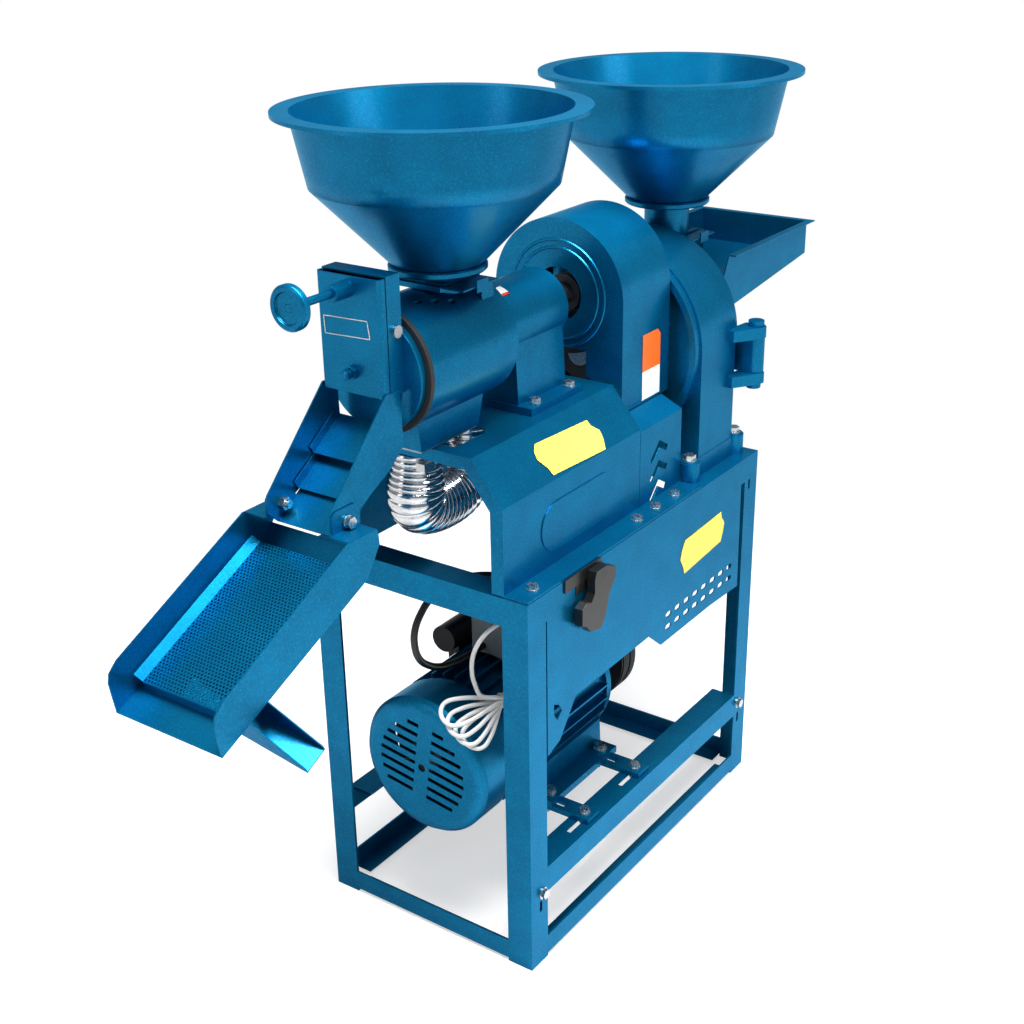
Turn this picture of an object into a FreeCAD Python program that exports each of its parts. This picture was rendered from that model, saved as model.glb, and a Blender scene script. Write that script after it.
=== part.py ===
import FreeCAD, Part
import math
import os

from FreeCAD import Vector

# Combined rice huller and grain crusher on one welded stand, in millimetres, +Z up.
# +X runs along the shafts from the huller's outlet to the crusher, and -Y is the panel side.
# Shapes are built with x = 0 at the stand's huller end, y = 0 on the shafts' plane and z = 0 on
# the floor, and are moved along X at the end so that x = 0 is the middle of the whole machine.

# ---------------------------------------------------------------- driving dimensions
STAND_LENGTH = 630.0
STAND_WIDTH = 356.0
STAND_HEIGHT = 570.0
ANGLE = 40.0  # leg of the posts', top rails' and motor rails' angle section
ANGLE_WALL = 4.0
FOOT_ANGLE = 30.0  # leg of the lowest rails' angle section
FOOT_ANGLE_WALL = 3.0
FOOT_RAIL_Z = 5.0
MOTOR_RAIL_TOP = 151.0
SHEET = 2.0
SIDE_Y = STAND_WIDTH / 2

DECK_TOP = 748.0
BASE_WALL_Y = 141.0
BASE_SHEET = 3.0
BASE_START = 2.0
BASE_END = 332.0
GUARD_BASE_END = 449.0

HULLER_Z = 860.0
DRUM_R = 79.0
DRUM_WALL = 4.0
DRUM_START = -44.0
DRUM_END = 130.0
GASKET = 7.0
HEAD_FACE = -61.0
HEAD_R = 74.0
HOUSING_R = 51.0
HOUSING_END = 288.0
HULLER_SHAFT_R = 15.0
SCREEN_R = 62.0
ROLLER_R = 46.0

BOX_FRONT = -98.0
BOX_HALF = 48.0
BOX_BOTTOM = 844.0
BOX_TOP = 988.0
SCREW_Z = 971.0
SCREW_R = 5.0
WHEEL_X = -192.0
FLAP_PIN_X = -72.0
FLAP_PIN_Z = 921.0
FLAP_PIN_R = 4.0
SPRING_Z = 870.0

TRAY_PIVOT_X = -181.0
TRAY_PIVOT_Z = 722.6
TRAY_TILT = 25.5
TRAY_HALF = 83.0
SPOUT_START = 222.0
SPOUT_END = 255.5
CHUTE_HALF = 50.0
# Upper and lower edge (x, z) of each tread of the chute.
CHUTE_TREADS = ((-74, 803, -124, 768), (-106, 765, -155, 733), (-140, 736, -190, 702))

HOPPER_1_X = 72.0
HOPPER_2_X = 640.0
NECK_R = 34.0
GATE_HALF = 36.0
GATE_SHEET = 2.5
GATE_1_Z = 943.5
GATE_2_Z = 885.5
THROAT_X = 644.5

CRUSHER_Z = 760.0
CASING_R = 152.0
CASING_START = 484.0
CASING_END = 588.0
DOOR_R = 146.0
DOOR_START = 590.0
DOOR_END = 604.0
HINGE_X = 614.0
HINGE_Y = -172.0
CRUSHER_SHAFT_R = 17.5
FEED_RIM_Z = 859.0
FEED_START = 666.0
FEED_END = 938.0
FEED_HALF = 97.0

GUARD_START = 339.0
GUARD_END = 467.0
GUARD_R = 106.0

MOTOR_Z = 271.0
MOTOR_BODY_R = 93.0
MOTOR_FIN_R = 105.0
MOTOR_FEET_X = (168.0, 308.0)
MOTOR_FOOT_Y = 95.0
MOTOR_SHAFT_R = 14.0
HULLER_BELT_X = 367.0
HULLER_PULLEY_R = 88.0
MOTOR_SMALL_R = 55.0
CRUSHER_BELT_X = (405.0, 425.0)
CRUSHER_PULLEY_R = 38.0
MOTOR_LARGE_R = 80.0

DUCT_Y = 20.0
DUCT_R = 30.0
SPIGOT_X = 37.0

RUN_FIT = 0.05  # radial clearance of a shaft or pin in its bore
CLEAR = 0.5  # gap between faces of two bodies that slide past one another

# Bolt centres (x, y) on the -Y side; the +Y side mirrors them.
BASE_BOLTS = ((37.5, -160.0), (294.0, -160.0), (345.0, -160.0), (399.0, -160.0))
CRUSHER_BOLTS = ((466.0, -147.0), (606.0, -146.0))
PEDESTAL_BOLTS = ((190.0, -62.0), (272.0, -62.0))
RAIL_BOLT_Y = -156.0
POST_BOLTS = ((28.0, 116.0), (603.0, 131.0))


# ---------------------------------------------------------------- basic shapes
def box(x0, x1, y0, y1, z0, z1):
    return Part.makeBox(x1 - x0, y1 - y0, z1 - z0, Vector(x0, y0, z0))


def rod_x(x0, x1, radius, y=0.0, z=0.0):
    return Part.makeCylinder(radius, x1 - x0, Vector(x0, y, z), Vector(1, 0, 0))


def rod_y(y0, y1, radius, x, z):
    return Part.makeCylinder(radius, y1 - y0, Vector(x, y0, z), Vector(0, 1, 0))


def rod_z(z0, z1, radius, x, y):
    return Part.makeCylinder(radius, z1 - z0, Vector(x, y, z0), Vector(0, 0, 1))


def prism(corners, along):
    """A straight-edged outline pushed along a vector."""
    return Part.Face(Part.makePolygon(corners + corners[:1])).extrude(along)


def plate_xz(outline, y0, y1):
    return prism([Vector(x, y0, z) for x, z in outline], Vector(0, y1 - y0, 0))


def plate_yz(outline, x0, x1):
    return prism([Vector(x0, y, z) for y, z in outline], Vector(x1 - x0, 0, 0))


def plate_xy(outline, z0, z1):
    return prism([Vector(x, y, z0) for x, y in outline], Vector(0, 0, z1 - z0))


def sheet_outline(line, thickness):
    """Closed outline of a bent sheet: the open line, and the same line moved to its left."""
    normals = []
    for (a0, b0), (a1, b1) in zip(line, line[1:]):
        length = math.hypot(a1 - a0, b1 - b0)
        normals.append((-(b1 - b0) / length, (a1 - a0) / length))
    moved = []
    for i, (a, b) in enumerate(line):
        n0 = normals[max(i - 1, 0)]
        n1 = normals[min(i, len(normals) - 1)]
        scale = thickness / (1 + n0[0] * n1[0] + n0[1] * n1[1])
        moved.append((a + scale * (n0[0] + n1[0]), b + scale * (n0[1] + n1[1])))
    return list(line) + moved[::-1]


def turned_x(profile, y, z):
    """A closed (x, radius) outline turned about a line along X."""
    corners = [Vector(x, y, z + r) for x, r in profile]
    face = Part.Face(Part.makePolygon(corners + corners[:1]))
    return face.revolve(Vector(0, y, z), Vector(1, 0, 0), 360)


def turned_z(profile, x, y):
    """A closed (radius, z) outline turned about a vertical line."""
    corners = [Vector(x + r, y, z) for r, z in profile]
    face = Part.Face(Part.makePolygon(corners + corners[:1]))
    return face.revolve(Vector(x, y, 0), Vector(0, 0, 1), 360)


def fused(pieces):
    return pieces[0].multiFuse(pieces[1:]).removeSplitter()


def without(shape, cuts):
    for cut in cuts:
        shape = shape.cut(cut)
    return shape


def mirrored(shape):
    return shape.mirror(Vector(0, 0, 0), Vector(0, 1, 0))


def both_sides(pieces):
    return list(pieces) + [mirrored(piece) for piece in pieces]


def stadium_xz(x0, x1, z0, z1, y0, y1):
    """A slot along X with round ends, cut or raised along Y."""
    radius = (z1 - z0) / 2
    middle = (z0 + z1) / 2
    ends = [rod_y(y0, y1, radius, x, middle) for x in (x0 + radius, x1 - radius)]
    return fused([box(x0 + radius, x1 - radius, y0, y1, z0, z1)] + ends)


def hexagon(radius, height, base, axis):
    """A six-sided prism; radius is to its corners."""
    prism_z = prism(
        [
            Vector(radius * math.cos(math.radians(60 * i)), radius * math.sin(math.radians(60 * i)), 0)
            for i in range(6)
        ],
        Vector(0, 0, height),
    )
    prism_z.Placement = FreeCAD.Placement(base, FreeCAD.Rotation(Vector(0, 0, 1), axis))
    return prism_z


def bolt(size, seat, axis, grip):
    """A hexagon bolt with washer and nut: seat is on the face under the washer, axis points out of it."""
    corner = size * 0.94
    washer = size * 0.2
    head = Part.makeCylinder(size * 1.1, washer, seat, axis)
    cap = hexagon(corner, size * 0.65, seat + axis * washer, axis)
    shank = Part.makeCylinder(size / 2, grip + size * 1.2, seat, axis * -1)
    nut = hexagon(corner, size * 0.8, seat - axis * grip, axis * -1)
    return fused([head, cap, shank, nut])


def bolt_hole(size, seat, axis, depth):
    return Part.makeCylinder(size / 2 + 0.5, depth + 2, seat + axis, axis * -1)


def round_bend(points, bends):
    """A wire through the points, each corner rounded by a tangent arc of the given radius."""
    edges = []
    last = points[0]
    for before, corner, after, radius in zip(points, points[1:], points[2:], bends):
        back = (before - corner).normalize()
        ahead = (after - corner).normalize()
        half = math.acos(max(-1.0, min(1.0, back.dot(ahead)))) / 2
        reach = radius / math.tan(half)
        start = corner + back * reach
        end = corner + ahead * reach
        centre_way = (back + ahead).normalize()
        middle = corner + centre_way * (radius / math.sin(half) - radius)
        edges.append(Part.LineSegment(last, start).toShape())
        edges.append(Part.Arc(start, middle, end).toShape())
        last = end
    edges.append(Part.LineSegment(last, points[-1]).toShape())
    return Part.Wire(edges)


def cord_bends(points):
    """The largest bend at each corner that its two runs allow."""
    bends = []
    for before, corner, after in zip(points, points[1:], points[2:]):
        back = before - corner
        ahead = after - corner
        turn = math.pi - back.getAngle(ahead)
        bends.append(0.45 * min(back.Length, ahead.Length) / math.tan(turn / 2))
    return bends


def swept(wire, radius):
    edge = wire.Edges[0]
    start = edge.valueAt(edge.FirstParameter)
    along = edge.tangentAt(edge.FirstParameter)
    ring = Part.Wire(Part.makeCircle(radius, start, along))
    return wire.makePipeShell([ring], True, True)


# ---------------------------------------------------------------- stand
def stand_post():
    """The post at the corner x = 0, -Y: an angle whose upper ends are mitred to the top rails."""
    y0 = -SIDE_Y
    foot = [(0, y0), (ANGLE, y0), (ANGLE, y0 + ANGLE_WALL), (ANGLE_WALL, y0 + ANGLE_WALL)]
    foot += [(ANGLE_WALL, y0 + ANGLE), (0, y0 + ANGLE)]
    post = plate_xy(foot, 0, STAND_HEIGHT)
    over = ANGLE + 1
    side_mitre = [(0, STAND_HEIGHT), (over, STAND_HEIGHT - over), (over, STAND_HEIGHT + 1), (0, STAND_HEIGHT + 1)]
    end_mitre = [(y0 + a, z) for a, z in side_mitre]
    post = post.cut(plate_xz(side_mitre, y0 - 1, y0 + ANGLE_WALL))
    return post.cut(plate_yz(end_mitre, -1, ANGLE_WALL))


def frame_posts():
    post = stand_post()
    far_end = post.mirror(Vector(STAND_LENGTH / 2, 0, 0), Vector(1, 0, 0))
    cuts = [rod_y(-SIDE_Y - 1, -SIDE_Y + ANGLE_WALL + 1, 4.5, x, z) for x, z in POST_BOLTS]
    cuts += [
        stadium_z(x, -SIDE_Y, z, 6.0, 18.0) for x, z in ((23.0, 96.0), (604.5, 103.0), (604.5, 522.0))
    ]
    near = [without(post, cuts), without(far_end, cuts)]
    return both_sides(near)


def stadium_z(x, y, z, width, height):
    """An upright slot through a side flange whose outer face is at y."""
    radius = width / 2
    straight = height / 2 - radius
    ends = [rod_y(y - 1, y + ANGLE_WALL + 1, radius, x, z + s * straight) for s in (-1, 1)]
    return fused([box(x - radius, x + radius, y - 1, y + ANGLE_WALL + 1, z - straight, z + straight)] + ends)


def side_rail():
    """The -Y top rail, mitred at both ends against the posts and the end rails."""
    y0 = -SIDE_Y
    low = STAND_HEIGHT - ANGLE
    lip = STAND_HEIGHT - ANGLE_WALL
    section = [(y0, low), (y0 + ANGLE_WALL, low), (y0 + ANGLE_WALL, lip)]
    section += [(y0 + ANGLE, lip), (y0 + ANGLE, STAND_HEIGHT), (y0, STAND_HEIGHT)]
    rail = plate_yz(section, 0, STAND_LENGTH)
    cuts = []
    for end, way in ((0, 1), (STAND_LENGTH, -1)):
        upright = [(end, STAND_HEIGHT), (end + way * ANGLE, low), (end, low)]
        flat = [(end, y0), (end + way * ANGLE, y0 + ANGLE), (end, y0 + ANGLE)]
        cuts.append(plate_xz(upright, y0 - 1, y0 + ANGLE_WALL))
        cuts.append(plate_xy(flat, low - 1, STAND_HEIGHT + 1))
    return without(rail, cuts)


def end_rail():
    """The top rail across the huller end."""
    low = STAND_HEIGHT - ANGLE
    lip = STAND_HEIGHT - ANGLE_WALL
    section = [(0, low), (ANGLE_WALL, low), (ANGLE_WALL, lip)]
    section += [(ANGLE, lip), (ANGLE, STAND_HEIGHT), (0, STAND_HEIGHT)]
    rail = plate_xz(section, -SIDE_Y, SIDE_Y)
    cuts = []
    for way in (-1, 1):
        end = way * SIDE_Y
        upright = [(end, STAND_HEIGHT), (end - way * ANGLE, low), (end, low)]
        flat = [(0, end), (ANGLE, end - way * ANGLE), (ANGLE, end)]
        cuts.append(plate_yz(upright, -1, ANGLE_WALL))
        cuts.append(plate_xy(flat, low - 1, STAND_HEIGHT + 1))
    return without(rail, cuts)


def motor_rail():
    """The -Y motor rail, its flat flange on top and slotted for the belts' tension."""
    y0 = -SIDE_Y
    low = MOTOR_RAIL_TOP - ANGLE
    lip = MOTOR_RAIL_TOP - ANGLE_WALL
    section = [(y0, low), (y0 + ANGLE_WALL, low), (y0 + ANGLE_WALL, lip)]
    section += [(y0 + ANGLE, lip), (y0 + ANGLE, MOTOR_RAIL_TOP), (y0, MOTOR_RAIL_TOP)]
    rail = plate_yz(section, ANGLE, STAND_LENGTH - ANGLE)
    slots = []
    for x in MOTOR_FEET_X:
        slots.append(box(x - 44, x + 22, RAIL_BOLT_Y - 4.5, RAIL_BOLT_Y + 4.5, lip - 1, MOTOR_RAIL_TOP + 1))
    return without(rail, slots)


def floor_rails():
    """The four lowest rails, their flat flanges below and turned inwards."""
    low, top = FOOT_RAIL_Z, FOOT_RAIL_Z + FOOT_ANGLE
    wall = FOOT_ANGLE_WALL
    y0 = -SIDE_Y
    section = [(y0, low), (y0 + FOOT_ANGLE, low), (y0 + FOOT_ANGLE, low + wall)]
    section += [(y0 + wall, low + wall), (y0 + wall, top), (y0, top)]
    long_rail = plate_yz(section, ANGLE, STAND_LENGTH - ANGLE)
    section = [(0, low), (FOOT_ANGLE, low), (FOOT_ANGLE, low + wall)]
    section += [(wall, low + wall), (wall, top), (0, top)]
    cross = plate_xz(section, -SIDE_Y + ANGLE, SIDE_Y - ANGLE)
    far_cross = cross.mirror(Vector(STAND_LENGTH / 2, 0, 0), Vector(1, 0, 0))
    return both_sides([long_rail]) + [cross, far_cross]


def frame_rails():
    holes = [bolt_hole(8, Vector(x, y, STAND_HEIGHT), Vector(0, 0, 1), 8) for x, y in BASE_BOLTS]
    holes += [bolt_hole(10, Vector(x, y, STAND_HEIGHT), Vector(0, 0, 1), 8) for x, y in CRUSHER_BOLTS]
    holes = both_sides(holes)
    plain = without(side_rail(), holes)
    neck_hole = box(109, 141, -SIDE_Y - 1, -SIDE_Y + ANGLE_WALL + 1, 538, 561)
    cross = end_rail()
    far_cross = cross.mirror(Vector(STAND_LENGTH / 2, 0, 0), Vector(1, 0, 0))
    rails = [plain.cut(neck_hole), mirrored(plain), cross, without(far_cross, holes)]
    return rails + both_sides([motor_rail()]) + floor_rails()


def side_panel():
    """The sheet panel on the -Y side, with its stepped lower edge and a bank of vent slots."""
    edge = STAND_HEIGHT - ANGLE
    outline = [(ANGLE + 3, edge), (578, edge), (580, 356), (490, 360), (340, 360), (304, 390)]
    outline += [(206, 389), (111, 388), (72, 338), (ANGLE + 3, 328)]
    panel = plate_xz(outline, -SIDE_Y, -SIDE_Y + SHEET)
    y0, y1 = -SIDE_Y - 1, -SIDE_Y + SHEET + 1
    corner = plate_xz([(58, 400), (70, 394), (77, 382), (66, 372), (58, 384)], y0, y1)
    slots = [stadium_xz(352 + 27 * i, 368 + 27 * i, 398, 406, y0, y1) for i in range(8)]
    slots += [stadium_xz(352 + 27 * i, 368 + 27 * i, 378, 386, y0, y1) for i in range(8)]
    return without(panel, [corner] + slots)


# ---------------------------------------------------------------- sheet-metal base and belt guard
def base_section(fold_z, top_y, top_z):
    """Outer line of a base cover in (y, z), from its -Y foot to its +Y foot."""
    half = [(-SIDE_Y + 1, STAND_HEIGHT), (-BASE_WALL_Y, STAND_HEIGHT), (-BASE_WALL_Y, fold_z), (-top_y, top_z)]
    return half + [(-y, z) for y, z in reversed(half)]


def huller_base():
    """The bent deck under the huller, with returned edges at its open end and a pressed panel."""
    section = base_section(690, 95, DECK_TOP)
    foot = STAND_HEIGHT
    half = [(-SIDE_Y + 1, foot), (-BASE_WALL_Y + BASE_SHEET, foot), (-BASE_WALL_Y + BASE_SHEET, 688.7)]
    half += [(-93.9, DECK_TOP - BASE_SHEET)]
    outer = [(-SIDE_Y + 1, foot + BASE_SHEET), (-BASE_WALL_Y, foot + BASE_SHEET), (-BASE_WALL_Y, 690)]
    outer += [(-95, DECK_TOP)]
    lower = half + [(-y, z) for y, z in reversed(half)]
    upper = outer + [(-y, z) for y, z in reversed(outer)]
    shell = plate_yz(upper + lower[::-1], BASE_START, BASE_END)
    # the return flange stands inside the open end
    inside = [(-BASE_WALL_Y + BASE_SHEET, foot + 1), (-BASE_WALL_Y + BASE_SHEET, 688.7)]
    inside += [(-93.9, DECK_TOP - BASE_SHEET)]
    mouth = [(-122, foot), (-122, 683), (-85, 731)]
    ring = plate_yz(inside + [(-y, z) for y, z in reversed(inside)], BASE_START, BASE_START + 2.5)
    hole = plate_yz(mouth + [(-y, z) for y, z in reversed(mouth)], BASE_START - 1, BASE_START + 4)
    shell = fused([shell, ring.cut(hole)])
    bosses = [stadium_xz(86, 264, 592, 660, -BASE_WALL_Y - 1.6, -BASE_WALL_Y + 1)]
    shell = fused([shell] + both_sides(bosses))
    slot = fused(
        [
            box(22, 80, -56, 56, DECK_TOP - 6, DECK_TOP + 2),
            rod_z(DECK_TOP - 6, DECK_TOP + 2, 18, 80, -38),
            rod_z(DECK_TOP - 6, DECK_TOP + 2, 18, 80, 38),
            box(78, 98, -38, 38, DECK_TOP - 6, DECK_TOP + 2),
            rod_z(DECK_TOP - 6, DECK_TOP + 2, DUCT_R, SPIGOT_X, DUCT_Y),
        ]
    )
    holes = [bolt_hole(8, Vector(x, y, foot + BASE_SHEET), Vector(0, 0, 1), 6) for x, y in BASE_BOLTS[:2]]
    holes += [bolt_hole(8, Vector(x, y, DECK_TOP), Vector(0, 0, 1), 6) for x, y in PEDESTAL_BOLTS]
    return without(shell, [slot] + both_sides(holes))


def guard_base():
    """The lower cover round the belts: two bent sides joined by a back plate."""
    foot = STAND_HEIGHT
    y1, t = BASE_WALL_Y, BASE_SHEET
    line = [(-SIDE_Y + 1, foot), (-y1 + t, foot), (-y1 + t, 684.7), (-105, 700)]
    side = plate_yz(sheet_outline(line, t), BASE_END + 1, GUARD_BASE_END)
    y0 = -y1 - 2
    chevrons = [chevron(386, 658 - 30 * i, y0, y0 + 8) for i in range(3)]
    holes = [bolt_hole(8, Vector(x, y, foot + t), Vector(0, 0, 1), 6) for x, y in BASE_BOLTS[2:]]
    side = without(side, chevrons + holes)
    back_line = [(-y1 + t, foot + 1), (-y1 + t, 684.7), (-105, 700), (105, 700), (y1 - t, 684.7), (y1 - t, foot + 1)]
    back = plate_yz(back_line, GUARD_BASE_END - SHEET, GUARD_BASE_END)
    return fused([side, mirrored(side), back])


def chevron(x, z, y0, y1):
    """An arrow-head cut with its point at (x, z), upwards."""
    outline = [(x - 24, z - 24), (x, z), (x + 24, z - 14), (x + 20, z - 22), (x, z - 11), (x - 20, z - 31)]
    return plate_xz(outline, y0, y1)


def arch(radius, x0, x1, foot, centre_z):
    """A half round of the radius over straight sides down to foot."""
    sides = box(x0, x1, -radius, radius, foot, centre_z)
    return fused([rod_x(x0, x1, radius, 0, centre_z), sides])


def belt_guard():
    """The arched belt cover: outer wall, ringed front plate and a turned-in back edge."""
    z = HULLER_Z + 2
    foot = 704.0
    outer = arch(GUARD_R, GUARD_START, GUARD_END, foot, z)
    inner = arch(GUARD_R - SHEET, GUARD_START + SHEET, GUARD_END + 1, foot - 1, z)
    back = arch(GUARD_R, GUARD_END - SHEET, GUARD_END, foot, z)
    back = back.cut(arch(GUARD_R - 13, GUARD_END - SHEET - 1, GUARD_END + 1, foot - 1, z))
    shell = fused([outer.cut(inner), back])
    face, under = GUARD_START - 1.5, GUARD_START + 1
    ring = turned_x([(under, 62), (face, 64), (face, 66), (under, 68)], 0, z)
    wide = turned_x([(under, 73), (face, 75), (face, 77), (under, 79)], 0, z)
    shell = fused([shell, ring, wide])
    mouth = [(-47, 787), (-47, 750), (-77, 733), (-77, foot - 1), (77, foot - 1), (77, 733), (47, 750), (47, 787)]
    cuts = [rod_x(face - 1, GUARD_START + 4, 38, 0, z), plate_yz(mouth, face - 1, GUARD_START + 4)]
    return without(shell, cuts)


# ---------------------------------------------------------------- huller
def bearing_housing():
    """The bearing tube and its welded pedestal."""
    z = HULLER_Z
    tube = rod_x(DRUM_END, HOUSING_END, HOUSING_R, 0, z)
    leg = plate_yz([(-51, DECK_TOP + 10), (51, DECK_TOP + 10), (46, z - 10), (-46, z - 10)], 168, 280)
    foot = box(165, 289, -74, 74, DECK_TOP, DECK_TOP + 10)
    holes = [bolt_hole(8, Vector(x, y, DECK_TOP + 10), Vector(0, 0, 1), 10) for x, y in PEDESTAL_BOLTS]
    bore = turned_x(
        [
            (DRUM_END - 1, 0),
            (DRUM_END - 1, 20),
            (DRUM_END + 8, 20),
            (DRUM_END + 8, 31),
            (HOUSING_END - 8, 31),
            (HOUSING_END - 8, 20),
            (HOUSING_END + 1, 20),
            (HOUSING_END + 1, 0),
        ],
        0,
        z,
    )
    return without(fused([tube, leg, foot]), [bore] + both_sides(holes))


def bearing(x, radius, bore, z):
    """A ball bearing as its closed ring, 16 wide."""
    return rod_x(x, x + 16, radius, 0, z).cut(rod_x(x - 1, x + 17, bore + RUN_FIT, 0, z))


def shaft_bearings():
    rings = [bearing(x, 31, HULLER_SHAFT_R, HULLER_Z) for x in (DRUM_END + 8, HOUSING_END - 24)]
    rings += [bearing(x, 36, CRUSHER_SHAFT_R, CRUSHER_Z) for x in (442, CASING_START - 20)]
    return rings


def huller_drum():
    """The hulling drum: shell, rear plate, grain inlet, vent slots and the bran skirt below."""
    z = HULLER_Z
    inner = DRUM_R - DRUM_WALL
    shell = rod_x(DRUM_START, DRUM_END, DRUM_R, 0, z)
    inlet = rod_z(z, 941, NECK_R, HOPPER_1_X, 0)
    seat = gate_seat(HOPPER_1_X, 940.0, GATE_1_Z)
    skirt_line = [(-22, 752), (96, 752), (122, z - 20), (-34, z - 20)]
    skirt = plate_xz(skirt_line, -38, 38)
    lug = rod_y(-52, -34, 13, 104, z + 66)
    body = fused([shell, inlet, seat, skirt, lug])
    hollow = rod_x(DRUM_START - 1, DRUM_END - 8, inner, 0, z)
    throat = rod_z(z, 950, NECK_R - 3, HOPPER_1_X, 0)
    skirt_hollow = plate_xz([(-19, 751), (93, 751), (118, z), (-31, z)], -35, 35)
    shaft_hole = rod_x(DRUM_END - 9, DRUM_END + 1, 20, 0, z)
    slots = [box(x, x + 11, -34 - y, -28 - y, z + 60, z + 90) for x, y in ((-6, -6), (17, 2), (40, 10))]
    return without(body, [hollow, throat, skirt_hollow, shaft_hole] + slots)


def rice_screen():
    """The cylinder sieve round the roller, open under the inlet."""
    z = HULLER_Z
    sieve = rod_x(DRUM_START + 2, DRUM_END - 9, SCREEN_R, 0, z)
    sieve = sieve.cut(rod_x(DRUM_START, DRUM_END, SCREEN_R - 2, 0, z))
    return sieve.cut(rod_z(z, z + 80, NECK_R - 3, HOPPER_1_X, 0))


def huller_shaft():
    return fused(
        [
            rod_x(-30, HOUSING_END - 30, HULLER_SHAFT_R, 0, HULLER_Z),
            rod_x(HOUSING_END - 30, 388, HULLER_SHAFT_R, 0, HULLER_Z),
        ]
    )


def huller_roller():
    """The ribbed hulling roller, pressed on the shaft."""
    z = HULLER_Z
    start, end = -32.0, 116.0
    body = rod_x(start, end, ROLLER_R, 0, z)
    ribs = []
    for i in range(4):
        rib = box(start, end, -4, 4, z + ROLLER_R - 4, z + ROLLER_R + 9)
        rib.rotate(Vector(0, 0, z), Vector(1, 0, 0), 90 * i + 20)
        ribs.append(rib)
    roller = fused([body] + ribs)
    return roller.cut(rod_x(-30, end + 1, HULLER_SHAFT_R, 0, z))


def grooved_rim(x, radius, width, z, hub):
    """A V-belt rim from the hub radius out, one groove 9 deep in the middle of its width."""
    half = width / 2
    profile = [(x - half, hub), (x - half, radius), (x - 8, radius), (x - 4.5, radius - 10)]
    profile += [(x + 4.5, radius - 10), (x + 8, radius), (x + half, radius), (x + half, hub)]
    return turned_x(profile, 0, z)


def huller_pulley():
    """The cast pulley with three arms, keyed to the huller shaft."""
    x, z = HULLER_BELT_X, HULLER_Z
    rim = grooved_rim(x, HULLER_PULLEY_R, 22, z, HULLER_PULLEY_R - 20)
    hub = rod_x(x - 14, x + 14, 27, 0, z)
    arms = []
    for i in range(3):
        arm = box(x - 5, x + 5, -10, 10, z + 20, z + HULLER_PULLEY_R - 16)
        arm.rotate(Vector(0, 0, z), Vector(1, 0, 0), 120 * i + 40)
        arms.append(arm)
    return fused([rim, hub] + arms).cut(rod_x(x - 20, x + 20, HULLER_SHAFT_R, 0, z))


def outlet_head():
    """The round head that closes the drum, with the rice outlet in its middle."""
    z = HULLER_Z
    disc = rod_x(HEAD_FACE, DRUM_START - GASKET, HEAD_R, 0, z)
    return disc.cut(rod_x(HEAD_FACE - 1, DRUM_START, 34, 0, z))


def head_gasket():
    z = HULLER_Z
    return rod_x(DRUM_START - GASKET, DRUM_START, DRUM_R + 2, 0, z).cut(
        rod_x(DRUM_START - GASKET - 1, DRUM_START + 1, 66, 0, z)
    )


def outlet_box():
    """The sheet box on the head: two sides, top and the back above the head."""
    t = 2.5
    front = BOX_FRONT + 12
    sides = both_sides([box(front, HEAD_FACE, -BOX_HALF, -BOX_HALF + t, BOX_BOTTOM, BOX_TOP)])
    top = box(front, HEAD_FACE, -BOX_HALF, BOX_HALF, BOX_TOP - t, BOX_TOP)
    back = box(HEAD_FACE - t, HEAD_FACE, -BOX_HALF, BOX_HALF, HULLER_Z + 82, BOX_TOP)
    shell = fused(sides + [top, back])
    return shell.cut(rod_y(-60, 60, FLAP_PIN_R + RUN_FIT, FLAP_PIN_X, FLAP_PIN_Z))


def outlet_cover():
    """The pressed front cover with its boss for the pressure screw."""
    t = 2.5
    edge = BOX_FRONT + 10.5
    line = [(edge, BOX_HALF), (BOX_FRONT + 4, BOX_HALF), (BOX_FRONT, BOX_HALF - 4)]
    line += [(x, -y) for x, y in reversed(line)]
    cover = plate_xy(sheet_outline(line, t), BOX_BOTTOM, BOX_TOP - 2)
    boss = rod_x(BOX_FRONT - 30, BOX_FRONT + t, 10.5, 0, SCREW_Z)
    cuts = [
        rod_x(BOX_FRONT - 40, BOX_FRONT + 10, SCREW_R + RUN_FIT, 0, SCREW_Z),
        rod_x(BOX_FRONT - 5, BOX_FRONT + 10, 5.2, 0, SPRING_Z),
    ]
    return without(fused([cover, boss]), cuts)


def pressure_flap():
    """The rocking flap: its lower end shuts the rice outlet, its upper end meets the screw."""
    line = [(-63, 832), (-63, 898), (-78, 914), (-78, BOX_TOP - 12)]
    strip = plate_xz(sheet_outline(line, 3), -40, 40)
    barrel = rod_y(-40, 40, 8, FLAP_PIN_X, FLAP_PIN_Z)
    bore = rod_y(-41, 41, FLAP_PIN_R + RUN_FIT, FLAP_PIN_X, FLAP_PIN_Z)
    return fused([strip, barrel]).cut(bore)


def flap_pin():
    """The pin through both box sides, with a round head at each end."""
    span = BOX_HALF
    pin = rod_y(-span, span, FLAP_PIN_R, FLAP_PIN_X, FLAP_PIN_Z)
    heads = both_sides([rod_y(-span - 4, -span, 7.5, FLAP_PIN_X, FLAP_PIN_Z)])
    return fused([pin] + heads)


def flap_spring():
    """The compression spring between the cover and the flap's lower end, its coils in short chords."""
    start, end = BOX_FRONT + 2.7, -66.4
    wire, coil, turns, chords = 1.0, 8.5, 5, 12
    pitch = (end - start - 2 * wire) / turns
    path = []
    for i in range(turns * chords + 1):
        angle = 2 * math.pi * i / chords
        x = start + wire + pitch * i / chords
        path.append(Vector(x, coil * math.cos(angle), SPRING_Z + coil * math.sin(angle)))
    first = (path[1] - path[0]).normalize()
    section = hexagon(wire, 0.1, path[0], first).Faces
    ends = [face for face in section if abs(face.CenterOfMass.distanceToPoint(path[0])) < 0.02]
    return Part.makePolygon(path).makePipeShell([ends[0].OuterWire], True, True, 1)


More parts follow.
